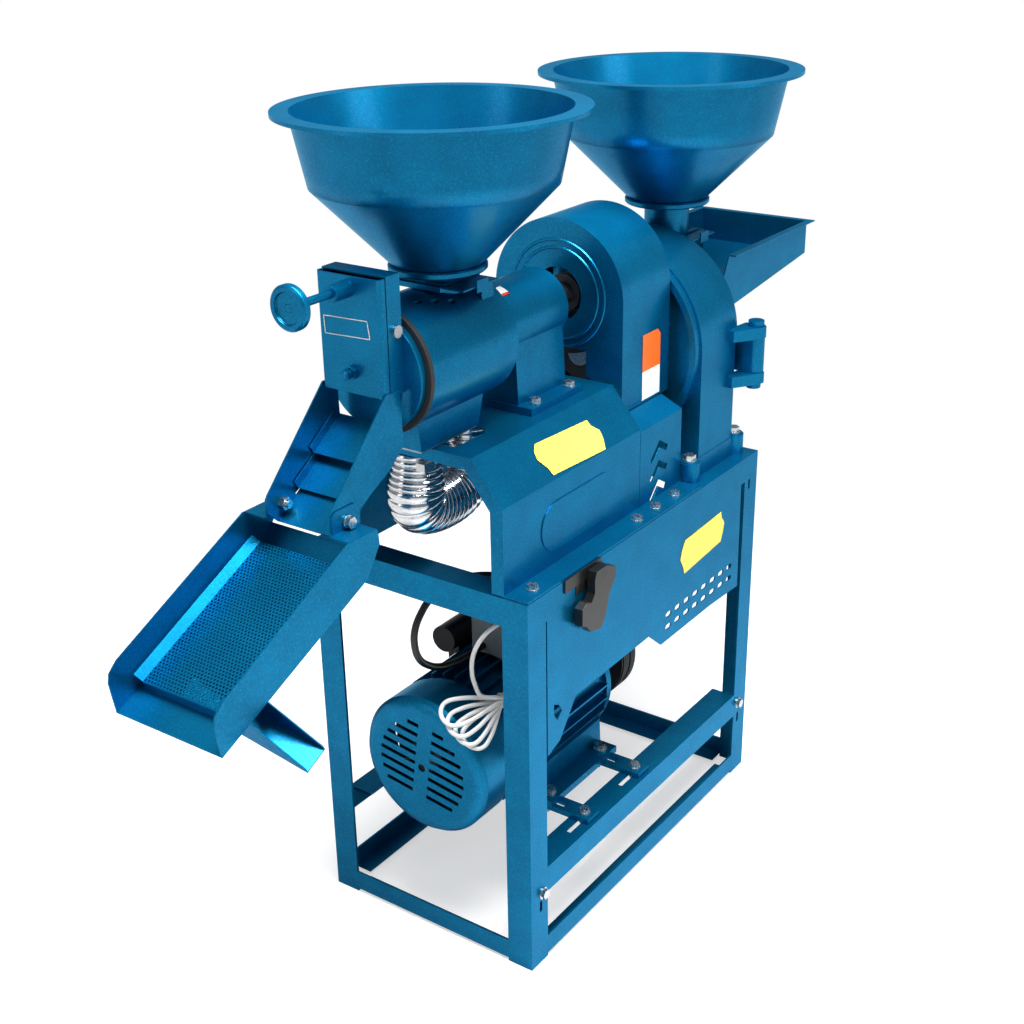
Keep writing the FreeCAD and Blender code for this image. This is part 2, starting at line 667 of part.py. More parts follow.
def pressure_screw():
    """The pressure screw, from the handwheel to the flap's upper end."""
    return rod_x(WHEEL_X - 4, -78 - 3.5, SCREW_R, 0, SCREW_Z)


def handwheel():
    """The turned handwheel, dished on its outer face."""
    x = WHEEL_X
    profile = [(x - 4, 0), (x - 4, 18), (x - 7, 19), (x - 7, 24), (x - 4, 27), (x + 3, 27), (x + 6, 24)]
    profile += [(x + 6, 12), (x + 10, 9), (x + 10, 0)]
    return turned_x(profile, 0, SCREW_Z).cut(rod_x(x - 4, x + 11, SCREW_R, 0, SCREW_Z))


def chute():
    """The stepped sheet chute: two cheeks and three overlapping treads."""
    outline = [(-97, 850), (-72, 850), (-70, 779), (-97, 757), (-158, 727), (-158, 716), (-172, 701)]
    outline += [(-190, 701), (-206, 716), (-206, 739), (-199, 746)]
    hole = rod_y(-60, 60, 4.5, TRAY_PIVOT_X, TRAY_PIVOT_Z)
    cheek = plate_xz(outline, -CHUTE_HALF, -CHUTE_HALF + SHEET).cut(hole)
    pieces = [cheek, mirrored(cheek)]
    inside = CHUTE_HALF - 1
    for high_x, high_z, low_x, low_z in CHUTE_TREADS:
        tread = sheet_outline([(high_x, high_z), (low_x, low_z)], 1.6)
        pieces.append(plate_xz(tread, -inside, inside))
    for high_x, high_z, low_x, low_z in CHUTE_TREADS[:2]:
        lip = sheet_outline([(high_x, high_z), (low_x, low_z)], -11)
        pieces += both_sides([plate_xz(lip, -CHUTE_HALF + 3.2, -CHUTE_HALF + 4.4)])
    return fused(pieces)


# ---------------------------------------------------------------- sieve tray
def tray_point(along, up):
    """A point of the tilted tray: along runs to its nose, up is square to its floor."""
    tilt = math.radians(TRAY_TILT)
    x = TRAY_PIVOT_X - along * math.cos(tilt) - up * math.sin(tilt)
    z = TRAY_PIVOT_Z - along * math.sin(tilt) + up * math.cos(tilt)
    return (x, z)


def tray_plate(outline, y0, y1):
    return plate_xz([tray_point(a, u) for a, u in outline], y0, y1)


def sieve_tray():
    """The tilting tray: cheeks, floor, nose lip, back plate, hanging ears and the bran spout."""
    y0, y1 = -TRAY_HALF, -TRAY_HALF + SHEET
    cheek = [tray_point(a, u) for a, u in ((34, 7), (268, 6), (284, 1), (291, -8), (297, -27), (303, -48))]
    cheek += [tray_point(33, -56), (-161, 694), (-163, 712), (-212, 714)]
    cheeks = both_sides([plate_xz(cheek, y0, y1)])
    floor = tray_plate([(303, -48), (33, -56), (33, -54.4), (303, -46.4)], y0, -y0)
    floor = floor.cut(tray_plate([(SPOUT_START + 2, -70), (SPOUT_END - 2, -70), (SPOUT_END - 2, -40),
                                  (SPOUT_START + 2, -40)], y1, 30))
    back = plate_xz(sheet_outline([tray_point(33, -56), (-168, 684)], SHEET), y0, -y0)
    ear = [(-206, 712), (-206, 734), (-200, 740), (-166, 740), (-158, 732), (-158, 712)]
    inner = CHUTE_HALF + CLEAR
    hole = rod_y(-70, 0, 4.5, TRAY_PIVOT_X, TRAY_PIVOT_Z)
    ears = [plate_xz(ear, -inner - SHEET, -inner).cut(hole)]
    ears.append(box(-212, -164, -TRAY_HALF, -inner, 712, 714))
    return fused(cheeks + [floor, back] + both_sides(ears) + bran_spout())


def bran_spout():
    """The slanted side spout under the tray's nose, falling towards -Y."""
    wall = 1.5
    outline = ((-TRAY_HALF, -49.2), (-TRAY_HALF - 54, -106), (-TRAY_HALF - 54, -112), (44, -51), (44, -49.2))
    pieces = []
    for along in (SPOUT_START, SPOUT_END - wall):
        x0, z0 = tray_point(along, 0)
        x1, z1 = tray_point(along + wall, 0)
        corners = []
        for y, up in outline:
            x, z = tray_point(along, up)
            corners.append(Vector(x, y, z))
        pieces.append(prism(corners, Vector(x1 - x0, 0, z1 - z0)))
    corners = []
    for y, up in (outline[2], outline[3], (44, -49.4), (outline[2][0], -110.4)):
        x, z = tray_point(SPOUT_START, up)
        corners.append(Vector(x, y, z))
    x0, z0 = tray_point(SPOUT_START, 0)
    x1, z1 = tray_point(SPOUT_END, 0)
    pieces.append(prism(corners, Vector(x1 - x0, 0, z1 - z0)))
    return pieces


def tray_sieve():
    """The sieve sheet, its long edges turned up and its front edge turned down."""
    half = TRAY_HALF - SHEET - 1.2
    line = [(half, -26), (70, -36), (-70, -36), (-half, -26)]
    section = sheet_outline(line, 1.2)
    start, end = 40, 262
    corners = []
    for y, up in section:
        x, z = tray_point(start, up)
        corners.append(Vector(x, y, z))
    x0, z0 = tray_point(start, 0)
    x1, z1 = tray_point(end, 0)
    sheet = prism(corners, Vector(x1 - x0, 0, z1 - z0))
    apron = tray_plate([(end, -36), (end + 1.5, -36), (end + 2.5, -45.9), (end + 1, -45.9), (end, -37.2)], -70, 70)
    return fused([sheet, apron])


# ---------------------------------------------------------------- bran duct
def bran_spigot():
    """The flanged spigot below the drum's skirt, through the deck."""
    plate = box(-20, 94, -36, 36, 749, 752)
    tube = rod_z(702, 752, DUCT_R - 1.4, SPIGOT_X, DUCT_Y)
    return fused([plate, tube]).cut(rod_z(700, 760, DUCT_R - 3.4, SPIGOT_X, DUCT_Y))


def duct_route():
    """The flexible duct's centre line: down, round below the drum and up under the deck."""
    y = DUCT_Y
    points = [Vector(SPIGOT_X, y, 728), Vector(SPIGOT_X, y, 694), Vector(16, y, 650), Vector(46, y, 618)]
    points += [Vector(122, y, 618), Vector(150, y, 652), Vector(148, y, DECK_TOP - 5)]
    return round_bend(points, [36, 40, 44, 44, 60])


def suction_duct():
    route = duct_route()
    return swept(route, DUCT_R).cut(swept(route, DUCT_R - 1.4))


# ---------------------------------------------------------------- hoppers and gates
def hopper(x, rim_r, rim_z, wall_r, break_r, break_z, ring_r, ring_z, foot_z):
    """A sheet hopper welded from four: wall with rim, cone with collar, neck, and foot plate."""
    t = 1.6
    bore = NECK_R - 3
    collar_z = ring_z - 7
    wall = [(break_r - t, break_z), (break_r, break_z), (wall_r, rim_z - 2), (rim_r - 3, rim_z - 2)]
    wall += [(rim_r, rim_z - 5), (rim_r, rim_z), (wall_r - t, rim_z)]
    cone = [(break_r - t, break_z), (break_r, break_z), (ring_r - 4, ring_z + 2), (ring_r - 2, ring_z + 2)]
    cone += [(ring_r, ring_z), (ring_r, ring_z - 5), (ring_r - 2, collar_z), (bore, collar_z)]
    neck = rod_z(foot_z + 2, collar_z, NECK_R, x, 0).cut(rod_z(foot_z, collar_z + 1, bore, x, 0))
    foot = box(x - NECK_R, x + NECK_R + 6, -NECK_R, NECK_R + 6, foot_z, foot_z + 2)
    foot = foot.cut(rod_z(foot_z - 1, foot_z + 3, bore, x, 0))
    return [turned_z(wall, x, 0), turned_z(cone, x, 0), neck, foot]


def gate_seat(x, low, gate_z):
    """The seat a slide gate runs in: floor plate, two side rails and a stop at +Y."""
    inner = GATE_HALF + CLEAR
    outer = inner + 4
    top = gate_z + GATE_SHEET + CLEAR
    floor = box(x - outer, x + outer, -NECK_R, outer, low, gate_z - CLEAR)
    rails = [box(x + side * (inner + 2) - 2, x + side * (inner + 2) + 2, -NECK_R, outer, low, top) for side in (-1, 1)]
    stop = box(x - outer, x + outer, inner, outer, low, top)
    return fused([floor, stop] + rails)


def gate(x, z, reach):
    """A slide gate with a folded grip on its -Y end."""
    plate = box(x - GATE_HALF, x + GATE_HALF, -reach, GATE_HALF, z, z + GATE_SHEET)
    grip = box(x - 12, x + 12, -reach - GATE_SHEET, -reach, z - 6, z + 10)
    return fused([plate, grip])


# ---------------------------------------------------------------- crusher
def crusher_casing():
    """The cast casing: arched wall, back plate with its ring, foot and the hinge lugs."""
    z = CRUSHER_Z
    foot_top = 600.0
    outer = arch(CASING_R, CASING_START, CASING_END, foot_top, z)
    hollow = rod_x(CASING_START + 10, CASING_END + 1, CASING_R - 12, 0, z)
    ring = rod_x(470, CASING_START, 149, 0, z).cut(rod_x(469, CASING_START, 140, 0, z))
    foot = [box(453, 630, -139, 139, STAND_HEIGHT, foot_top), box(470, 598, -153, 153, STAND_HEIGHT, foot_top)]
    pads = [rod_z(STAND_HEIGHT, foot_top, 16, x, y) for x, y in CRUSHER_BOLTS]
    seats = [rod_z(foot_top - 1, foot_top + 2, 14, x, y) for x, y in CRUSHER_BOLTS]
    lugs = []
    for low in (686.0, 757.0):
        arm = [(566, -148), (566, -160), (604, -186), (616, -188), (628, -178), (628, -166), (618, -152), (588, -148)]
        lugs.append(plate_xy(arm, low, low + 17))
    body = fused([outer, ring] + foot + both_sides(pads + seats) + lugs)
    cuts = [hollow, rod_x(468, CASING_START + 11, 30, 0, z)]
    cuts += [box(475, 609, -128, 128, STAND_HEIGHT - 1, foot_top - 10)]
    cuts += [box(CASING_START + 10, CASING_END - 8, -70, 70, foot_top - 11, z - 100)]
    cuts += [rod_z(680, 780, 8 + RUN_FIT, HINGE_X, HINGE_Y)]
    cuts += both_sides(
        [bolt_hole(10, Vector(x, y, foot_top + 2), Vector(0, 0, 1), 34) for x, y in CRUSHER_BOLTS]
    )
    return without(body, cuts)


def crusher_bearing_housing():
    """The flanged bearing tube on the casing's back plate."""
    z = CRUSHER_Z
    tube = rod_x(440, CASING_START, 46, 0, z)
    flange = rod_x(CASING_START - 8, CASING_START, 72, 0, z)
    bore = turned_x([(439, 0), (439, 36), (CASING_START - 4, 36), (CASING_START - 4, 22), (CASING_START + 1, 22)]
                    + [(CASING_START + 1, 0)], 0, z)
    return fused([tube, flange]).cut(bore)


def crusher_shaft():
    return rod_x(392, 560, CRUSHER_SHAFT_R, 0, CRUSHER_Z)


def crusher_rotor():
    """The beater disc: six swinging flails' fixed blocks round a disc."""
    z = CRUSHER_Z
    disc = rod_x(520, 532, 96, 0, z)
    hub = rod_x(505, 548, 30, 0, z)
    blocks = []
    for i in range(6):
        block = box(532, 562, -9, 9, z + 62, z + 94)
        block.rotate(Vector(0, 0, z), Vector(1, 0, 0), 60 * i)
        blocks.append(block)
    return fused([disc, hub] + blocks).cut(rod_x(500, 570, CRUSHER_SHAFT_R, 0, z))


def crusher_screen():
    """The ring sieve round the rotor."""
    z = CRUSHER_Z
    return rod_x(CASING_START + 12, CASING_END - 6, 118, 0, z).cut(
        rod_x(CASING_START, CASING_END, 116, 0, z)
    )


def crusher_pulley():
    z = CRUSHER_Z
    rims = [grooved_rim(x, CRUSHER_PULLEY_R, 20, z, CRUSHER_SHAFT_R) for x in CRUSHER_BELT_X]
    return fused(rims)


def crusher_door():
    """The round door: rimmed disc, grain mouth, hinge arm and knuckle."""
    z = CRUSHER_Z
    disc = rod_x(DOOR_START, DOOR_END, DOOR_R, 0, z)
    dish = rod_x(DOOR_END - 5, DOOR_END + 1, DOOR_R - 14, 0, z)
    mouth = box(DOOR_START - 1, DOOR_END + 1, -38, 38, z - 6, z + 62)
    knuckle = rod_z(703.6, 756.4, 14, HINGE_X, HINGE_Y)
    arm = box(DOOR_END - 4, HINGE_X + 6, HINGE_Y, -124, 703.6, 756.4)
    pocket = box(DOOR_END + 4, HINGE_X + 20, HINGE_Y + 18, -100, 700, 760)
    arm = arm.cut(pocket)
    body = fused([disc.cut(dish), box(DOOR_END - 6, DOOR_END, -DOOR_R + 8, -DOOR_R + 30, 712, 748), arm, knuckle])
    return without(body, [mouth, rod_z(700, 760, 8 + RUN_FIT, HINGE_X, HINGE_Y)])


def hinge_pin():
    pin = rod_z(680, 780, 8, HINGE_X, HINGE_Y)
    return fused([pin, rod_z(774.4, 782, 12, HINGE_X, HINGE_Y), rod_z(677, 685.6, 11, HINGE_X, HINGE_Y)])


def feed_tray():
    """The welded feed tray on the door: rimmed trough, sloping floor and the box under the hopper."""
    t = 2.0
    low_x, low_z = 640.0, 772.0
    outline = [(FEED_START, FEED_RIM_Z), (FEED_END, FEED_RIM_Z), (FEED_END, 805), (low_x, low_z), (low_x, 812)]
    outer = plate_xz(outline, -FEED_HALF, FEED_HALF)
    inner_line = [(FEED_START - 40, FEED_RIM_Z + 1), (FEED_END - t, FEED_RIM_Z + 1), (FEED_END - t, 805 + t)]
    inner_line += [(low_x + t, low_z + t), (low_x + t, 805)]
    trough = outer.cut(plate_xz(inner_line, -FEED_HALF + t, FEED_HALF - t))
    rim = box(FEED_START, FEED_END + 10, -FEED_HALF - 10, FEED_HALF + 10, FEED_RIM_Z - 2, FEED_RIM_Z)
    rim = rim.cut(box(FEED_START - 1, FEED_END - t, -FEED_HALF + t, FEED_HALF - t, FEED_RIM_Z - 5, FEED_RIM_Z + 5))
    half = GATE_HALF + CLEAR + 4
    end = THROAT_X + half
    above = GATE_2_Z + GATE_SHEET + CLEAR
    throat = plate_xz([(DOOR_END, 760), (end, 775), (end, above), (DOOR_END, above)], -half, half)
    hollow = [(DOOR_END - 1, 762), (end - t, 777), (end - t, GATE_2_Z - 4), (DOOR_END + 2, GATE_2_Z - 4)]
    hollow += [(DOOR_END + 2, 822), (DOOR_END - 1, 822)]
    gate_way = box(THROAT_X - GATE_HALF - CLEAR, THROAT_X + GATE_HALF + CLEAR, -half - 1, half - 4, GATE_2_Z - CLEAR, above + 1)
    window = box(end - t - 1, end + 1, -half + 6, half - 6, 783, 830)
    throat = without(throat, [plate_xz(hollow, -half + t, half - t), rod_z(870, 895, NECK_R - 3, HOPPER_2_X, 0), gate_way])
    trough = trough.cut(box(600, end, -half, half, 700, 900))
    rim = rim.cut(box(600, end, -half, half, 700, 900))
    return fused([trough, rim, throat]).cut(window)


# ---------------------------------------------------------------- motor and drive
def motor_body():
    """The finned motor body with its end shields and foot rails."""
    z = MOTOR_Z
    start, end = 62.0, 330.0
    barrel = rod_x(start, end, MOTOR_BODY_R, 0, z)
    shields = [rod_x(start, start + 12, 100, 0, z), rod_x(end - 12, end, 100, 0, z)]
    nose = turned_x([(end, 0), (end, 98), (end + 8, 90), (end + 12, 40), (end + 14, 0)], 0, z)
    fins = []
    for angle in [12 * i for i in range(30) if not 150 < 12 * i < 210]:
        fin = box(start + 16, end - 16, -1.6, 1.6, z + MOTOR_BODY_R - 2, z + MOTOR_FIN_R)
        fin.rotate(Vector(0, 0, z), Vector(1, 0, 0), angle)
        fins.append(fin)
    foot_z = MOTOR_RAIL_TOP + 8
    feet = []
    for side in (-1, 1):
        line = [(side * 76, foot_z), (side * 112, foot_z), (side * 112, foot_z + 11), (side * 83, foot_z + 11)]
        line += [(side * 80, z - 42), (side * 60, z - 60)]
        feet.append(plate_yz(line, MOTOR_FEET_X[0] - 20, MOTOR_FEET_X[1] + 20))
    body = fused([barrel, nose] + shields + fins + feet)
    cuts = [rod_x(start - 1, end + 20, MOTOR_SHAFT_R + RUN_FIT, 0, z)]
    for x in MOTOR_FEET_X:
        for side in (-1, 1):
            cuts.append(bolt_hole(10, Vector(x, side * MOTOR_FOOT_Y, foot_z + 11), Vector(0, 0, 1), 12))
    return without(body, cuts)


def motor_cowl():
    """The pressed fan cowl with two banks of slanted air slots."""
    z = MOTOR_Z
    t = 2.0
    profile = [(62, 104), (8, 104), (0, 98), (-5, 86), (-5, 0), (-3, 0), (-3, 85), (1.5, 96), (9, 102), (62, 102)]
    cowl = turned_x(profile, 0, z)
    cuts = [rod_x(-6, 0, 6, 0, z)]
    for i in range(8):
        high = z + 62 - 15.5 * i
        reach = math.sqrt(72**2 - (high - z + 3) ** 2)
        for side in (-1, 1):
            near, far = side * 12, side * max(30, reach)
            slot = box(-6, 0, min(near, far), max(near, far), high, high + 6)
            slot.rotate(Vector(0, 0, z), Vector(1, 0, 0), 8)
            cuts.append(slot)
    return without(cowl, cuts)


def motor_fan():
    z = MOTOR_Z
    hub = rod_x(14, 46, 24, 0, z)
    disc = rod_x(42, 46, 80, 0, z)
    blades = []
    for i in range(7):
        blade = box(14, 43, -1.5, 1.5, z + 20, z + 80)
        blade.rotate(Vector(0, 0, z), Vector(1, 0, 0), 360 / 7 * i)
        blades.append(blade)
    return fused([hub, disc] + blades).cut(rod_x(13, 50, MOTOR_SHAFT_R, 0, z))


def motor_shaft():
    return rod_x(14, 440, MOTOR_SHAFT_R, 0, MOTOR_Z)


def motor_pulley():
    """The three-groove motor pulley: a small step to the huller, two large to the crusher."""
    z = MOTOR_Z
    small = grooved_rim(HULLER_BELT_X, MOTOR_SMALL_R, 22, z, MOTOR_SHAFT_R)
    large = [grooved_rim(x, MOTOR_LARGE_R, 20, z, MOTOR_SHAFT_R) for x in CRUSHER_BELT_X]
    spacer = rod_x(378, 395, 40, 0, z).cut(rod_x(377, 396, MOTOR_SHAFT_R, 0, z))
    return fused([small, spacer] + large)


def belt_band(x, low_r, low_z, high_r, high_z):
    """A V-belt in its grooves: trapezoid section, open belt round two pulleys."""
    sink = 9.2
    layers = []
    for top, width in ((1.5, 13.6), (-2.6, 11.0), (-sink + 2.4, 8.6)):
        layers.append((top, width))
    solids = []
    for (top, width), low in zip(layers, (-2.6, -sink + 2.4, -sink)):
        outer = belt_loop(x, low_r + top, low_z, high_r + top, high_z, width)
        inner = belt_loop(x, low_r + low, low_z, high_r + low, high_z, width + 2)
        solids.append(outer.cut(inner))
    return fused(solids)


def belt_loop(x, low_r, low_z, high_r, high_z, width):
    """A filled belt outline: two circles and the strip between their outer tangents."""
    gap = high_z - low_z
    lean = math.asin((low_r - high_r) / gap)
    cos, sin = math.cos(lean), math.sin(lean)
    outline = [(low_r * cos, low_z + low_r * sin), (high_r * cos, high_z + high_r * sin)]
    outline += [(-a, z) for a, z in reversed(outline)]
    x0, x1 = x - width / 2, x + width / 2
    strip = plate_yz(outline, x0, x1)
    return fused([strip, rod_x(x0, x1, low_r, 0, low_z), rod_x(x0, x1, high_r, 0, high_z)])


def motor_bars():
    """The two flat bars across the motor rails, slotted under the motor's feet."""
    bars = []
    for x in MOTOR_FEET_X:
        bar = box(x - 15, x + 15, -172, 172, MOTOR_RAIL_TOP, MOTOR_RAIL_TOP + 8)
        cuts = []
        for side in (-1, 1):
            inner, outer = sorted((side * 80, side * 124))
            cuts.append(box(x - 5.5, x + 5.5, inner, outer, MOTOR_RAIL_TOP - 1, MOTOR_RAIL_TOP + 9))
            cuts.append(rod_z(MOTOR_RAIL_TOP - 1, MOTOR_RAIL_TOP + 9, 4.5, x, side * -RAIL_BOLT_Y))
        bars.append(without(bar, cuts))
    return bars


def terminal_box():
    """The grey terminal box on top of the motor."""
    saddle = rod_x(150, 260, MOTOR_FIN_R + 0.2, 0, MOTOR_Z)
    return box(155, 255, -62, 28, 360, 450).cut(saddle)


def capacitor():
    """The capacitor can on the motor's shoulder, with its strap foot."""
    can = rod_x(137, 235, 20, 66, 388)
    foot = box(160, 200, 56, 76, 340, 376)
    return fused([can, foot]).cut(rod_x(130, 240, MOTOR_FIN_R + 0.2, 0, MOTOR_Z))


# ---------------------------------------------------------------- switch, cord and conduit
def switch_body():
    """The switch behind the rail: face plate, neck, inner box and the lever's stub axle."""
    y = -SIDE_Y
    plate = box(82, 169, y - 2.5, y, 553, 571)
    neck = box(110, 140, y - 1, y + ANGLE_WALL + 1, 553, 560)
    inner = box(92, 158, y + ANGLE_WALL + 0.2, y + 40, 512, 560)
    inner = fused([inner, box(110, 140, y - 1, y + 6, 539, 560)])
    gland = turned_x([(66, 3.2), (66, 5), (88, 7), (88, 10), (92, 10), (92, 3.2)], -150, 533)
    axle = rod_y(-194, y, 5, 154, 556)
    return fused([plate, neck, inner, gland, axle])


def switch_lever():
    """The moulded switch handle, hanging from its stub axle."""
    outline = [(136, 566), (160, 566), (184, 556), (184, 541), (168, 522), (158, 490), (148, 478)]
    outline += [(122, 484), (112, 496), (102, 500), (102, 524), (114, 530), (124, 526), (132, 536), (132, 556)]
    handle = plate_xz(outline, -194.0, -SIDE_Y - 2.5 - CLEAR)
    return handle.cut(rod_y(-200, -170, 5 + RUN_FIT, 154, 556))


CORD_R = 3.0
HANK_MIDDLE = Vector(55.5, -96, 381)
HANK_DEPTH = 28.0
PLUG_TOP = Vector(80, -132, 334)
CONDUIT_R = 5.0

# Free power cord, from the switch box down to the hank.
CORD_POINTS = [
    (66, -150, 533),
    (42, -147, 533),
    (20, -128, 528),
    (7, -104, 506),
    (3, -88, 474),
    (7, -82, 442),
    (18, -80, 414),
    (31, -78, 391),
]

# Black conduit, clipped from the switch box to the terminal box.
CONDUIT_POINTS = [
    (125, -138, 528),
    (125, -112, 528),
    (110, -70, 538),
    (76, -28, 542),
    (34, 4, 520),
    (4, 12, 478),
    (10, 12, 430),
    (48, 10, 400),
    (96, 10, 388),
    (130, 8, 388),
    (155, 8, 388),
]


def cord(points, radius):
    """A round cord along straight runs joined by the largest tangent arcs."""
    route = [Vector(*point) for point in points]
    bends = cord_bends(route)
    wire = round_bend(route, bends)
    tube = swept(wire, radius)
    print("radii", [round(bend, 1) for bend in bends], "length", round(wire.Length, 1))
    print("volume against section times length", round(tube.Volume / (math.pi * radius**2 * wire.Length), 4))
    return tube


def cord_hank():
    """The outer shape of the tied hank of spare cord, lying on the fan cowl's shoulder."""
    reach, fan, waist, depth = 92.0, 30.0, 17.0, HANK_DEPTH
    quarter = [(reach, fan * 0.55), (reach - 16, fan), (reach - 42, fan * 0.9), (14, waist)]
    half = quarter + [(-u, v) for u, v in reversed(quarter)]
    outline = half + [(-u, -v) for u, v in half]
    along, outward = hank_ways()
    across = outward.cross(along)
    corners = [HANK_MIDDLE + along * u + across * v - outward * (depth / 2) for u, v in outline]
    return prism(corners, outward * depth)


def hank_ways():
    """The hank's long direction, and the way it faces, square to it."""
    along = Vector(0.890, -0.355, 0.285).normalize()
    outward = Vector(-0.447, -0.563, 0.695).normalize()
    return along, outward


def cord_plug():
    """The two-pin plug hanging from the hank behind the near post: tapered grip, face and pins."""
    profile = [(0, 0), (0, 4.5), (14, 8), (30, 11), (34, 13), (42, 13), (42, 0)]
    grip = turned_x(profile, 0, 0)
    pins = [rod_x(42, 61, 2.4, y, 0) for y in (-7, 7)]
    plug = fused([grip] + pins)
    plug.Placement = FreeCAD.Placement(PLUG_TOP, FreeCAD.Rotation(Vector(1, 0, 0), Vector(0, 0, -1)))
    return plug


# ---------------------------------------------------------------- fasteners
def m8_bolts():
    up = Vector(0, 0, 1)
    bolts = [bolt(8, Vector(x, y, STAND_HEIGHT + BASE_SHEET), up, 7) for x, y in BASE_BOLTS]
    bolts += [bolt(8, Vector(x, y, DECK_TOP + 10), up, 13) for x, y in PEDESTAL_BOLTS]
    bolts += [bolt(8, Vector(x, RAIL_BOLT_Y, MOTOR_RAIL_TOP + 8), up, 12) for x in MOTOR_FEET_X]
    bolts += [bolt(8, Vector(x, -SIDE_Y, z), Vector(0, -1, 0), ANGLE_WALL) for x, z in POST_BOLTS]
    return both_sides(bolts)


def m10_bolts():
    up = Vector(0, 0, 1)
    top = MOTOR_RAIL_TOP + 19
    bolts = [bolt(10, Vector(x, -MOTOR_FOOT_Y, top), up, 19) for x in MOTOR_FEET_X]
    bolts += [bolt(10, Vector(x, y, 602), up, 36) for x, y in CRUSHER_BOLTS]
    return both_sides(bolts) + tray_pivot_bolts()


def adjusting_bolt():
    """The spring's adjusting bolt with its lock nut, through the cover."""
    x, z = BOX_FRONT, SPRING_Z
    out = Vector(-1, 0, 0)
    stem = rod_x(x - 16, x + 2.5, 5, 0, z)
    lock = hexagon(9.4, 6, Vector(x, 0, z), out)
    return fused([stem, lock, hexagon(7.5, 5, Vector(x - 10, 0, z), out)])


def tray_pivot_bolts():
    """The two shouldered bolts the tray hangs from, through the chute's cheeks."""
    y = -CHUTE_HALF - CLEAR - SHEET
    shank = rod_y(y, -CHUTE_HALF + SHEET + 12, 4.4, TRAY_PIVOT_X, TRAY_PIVOT_Z)
    axle = Vector(TRAY_PIVOT_X, y - CLEAR, TRAY_PIVOT_Z)
    head = Part.makeCylinder(8, 2, axle, Vector(0, -1, 0))
    cap = hexagon(7.5, 6.5, axle + Vector(0, -2, 0), Vector(0, -1, 0))
    stub = rod_y(y - CLEAR, y, 4.4, TRAY_PIVOT_X, TRAY_PIVOT_Z)
    nut_seat = Vector(TRAY_PIVOT_X, -CHUTE_HALF + SHEET, TRAY_PIVOT_Z)
    nut = hexagon(8.4, 7, nut_seat, Vector(0, 1, 0))
    return both_sides([fused([shank, stub, head, cap, nut])])


def duct_clamp():
    """The worm-drive clamp round the duct's upper end."""
    band = rod_z(709, 722, DUCT_R + 1.4, SPIGOT_X, DUCT_Y)
    housing = box(SPIGOT_X - 30, SPIGOT_X - 8, DUCT_Y - 38, DUCT_Y - 24, 710, 721)
    return fused([band, housing]).cut(rod_z(700, 730, DUCT_R, SPIGOT_X, DUCT_Y))


NODES = {
    "frame_posts": frame_posts,
    "frame_rails": frame_rails,
    "side_panel": side_panel,
    "huller_base": huller_base,
    "guard_base": guard_base,
    "belt_guard": belt_guard,
    "bearing_housing": bearing_housing,
    "shaft_bearings": shaft_bearings,
    "huller_shaft": huller_shaft,
    "huller_roller": huller_roller,
    "huller_pulley": huller_pulley,
    "huller_drum": huller_drum,
    "rice_screen": rice_screen,
    "outlet_head": outlet_head,
    "head_gasket": head_gasket,
    "outlet_box": outlet_box,
    "outlet_cover": outlet_cover,
    "pressure_flap": pressure_flap,
    "flap_pin": flap_pin,
    "flap_spring": flap_spring,
    "pressure_screw": pressure_screw,
    "handwheel": handwheel,
    "chute": chute,
    "adjusting_bolt": adjusting_bolt,
    "sieve_tray": sieve_tray,
    "tray_sieve": tray_sieve,
    "bran_spigot": bran_spigot,
    "suction_duct": suction_duct,
    "duct_clamp": duct_clamp,
    "huller_hopper": lambda: hopper(HOPPER_1_X, 192, 1153, 171, 153, 1063, 62, 964, 946.5),
    "huller_gate": lambda: gate(HOPPER_1_X, GATE_1_Z, 66),
    "crusher_casing": crusher_casing,
    "crusher_bearing_housing": crusher_bearing_housing,
    "crusher_shaft": crusher_shaft,
    "crusher_rotor": crusher_rotor,
    "crusher_screen": crusher_screen,
    "crusher_pulley": crusher_pulley,
    "crusher_door": crusher_door,
    "hinge_pin": hinge_pin,
    "feed_tray": feed_tray,
    "crusher_hopper": lambda: hopper(HOPPER_2_X, 195, 1131, 174, 155, 1038, 64, 942, 888.5),
    "crusher_gate": lambda: gate(THROAT_X, GATE_2_Z, 62),
    "motor_body": motor_body,
    "motor_cowl": motor_cowl,
    "motor_fan": motor_fan,
    "motor_shaft": motor_shaft,
    "motor_pulley": motor_pulley,
    "terminal_box": terminal_box,
    "capacitor": capacitor,
    "motor_bars": motor_bars,
    "huller_belt": lambda: belt_band(HULLER_BELT_X, MOTOR_SMALL_R, MOTOR_Z, HULLER_PULLEY_R, HULLER_Z),
    "crusher_belts": lambda: [
        belt_band(x, MOTOR_LARGE_R, MOTOR_Z, CRUSHER_PULLEY_R, CRUSHER_Z) for x in CRUSHER_BELT_X
    ],
    "switch_body": switch_body,
    "switch_lever": switch_lever,
    "power_cord": lambda: cord(CORD_POINTS, CORD_R).cut(cord_hank()),
    "cord_hank": cord_hank,
    "cord_plug": cord_plug,
    "conduit": lambda: cord(CONDUIT_POINTS, CONDUIT_R),
    "m8_bolts": m8_bolts,
    "m10_bolts": m10_bolts,
}

os.makedirs("parts", exist_ok=True)
shapes = {}
for name, make in NODES.items():
    made = make()
    shapes[name] = Part.makeCompound(made) if isinstance(made, list) else made

middle_x = (shapes["sieve_tray"].BoundBox.XMin + shapes["feed_tray"].BoundBox.XMax) / 2
print("middle of the machine from the stand's huller end:", round(middle_x, 3))
for name, shape in shapes.items():
    shape.translate(Vector(-middle_x, 0, 0))
    print(name, len(shape.Solids), shape.isValid(), round(shape.Volume))
    shape.exportStep(f"parts/{name}.step")
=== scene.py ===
import math
import bmesh
import bpy
from mathutils import Matrix, Vector


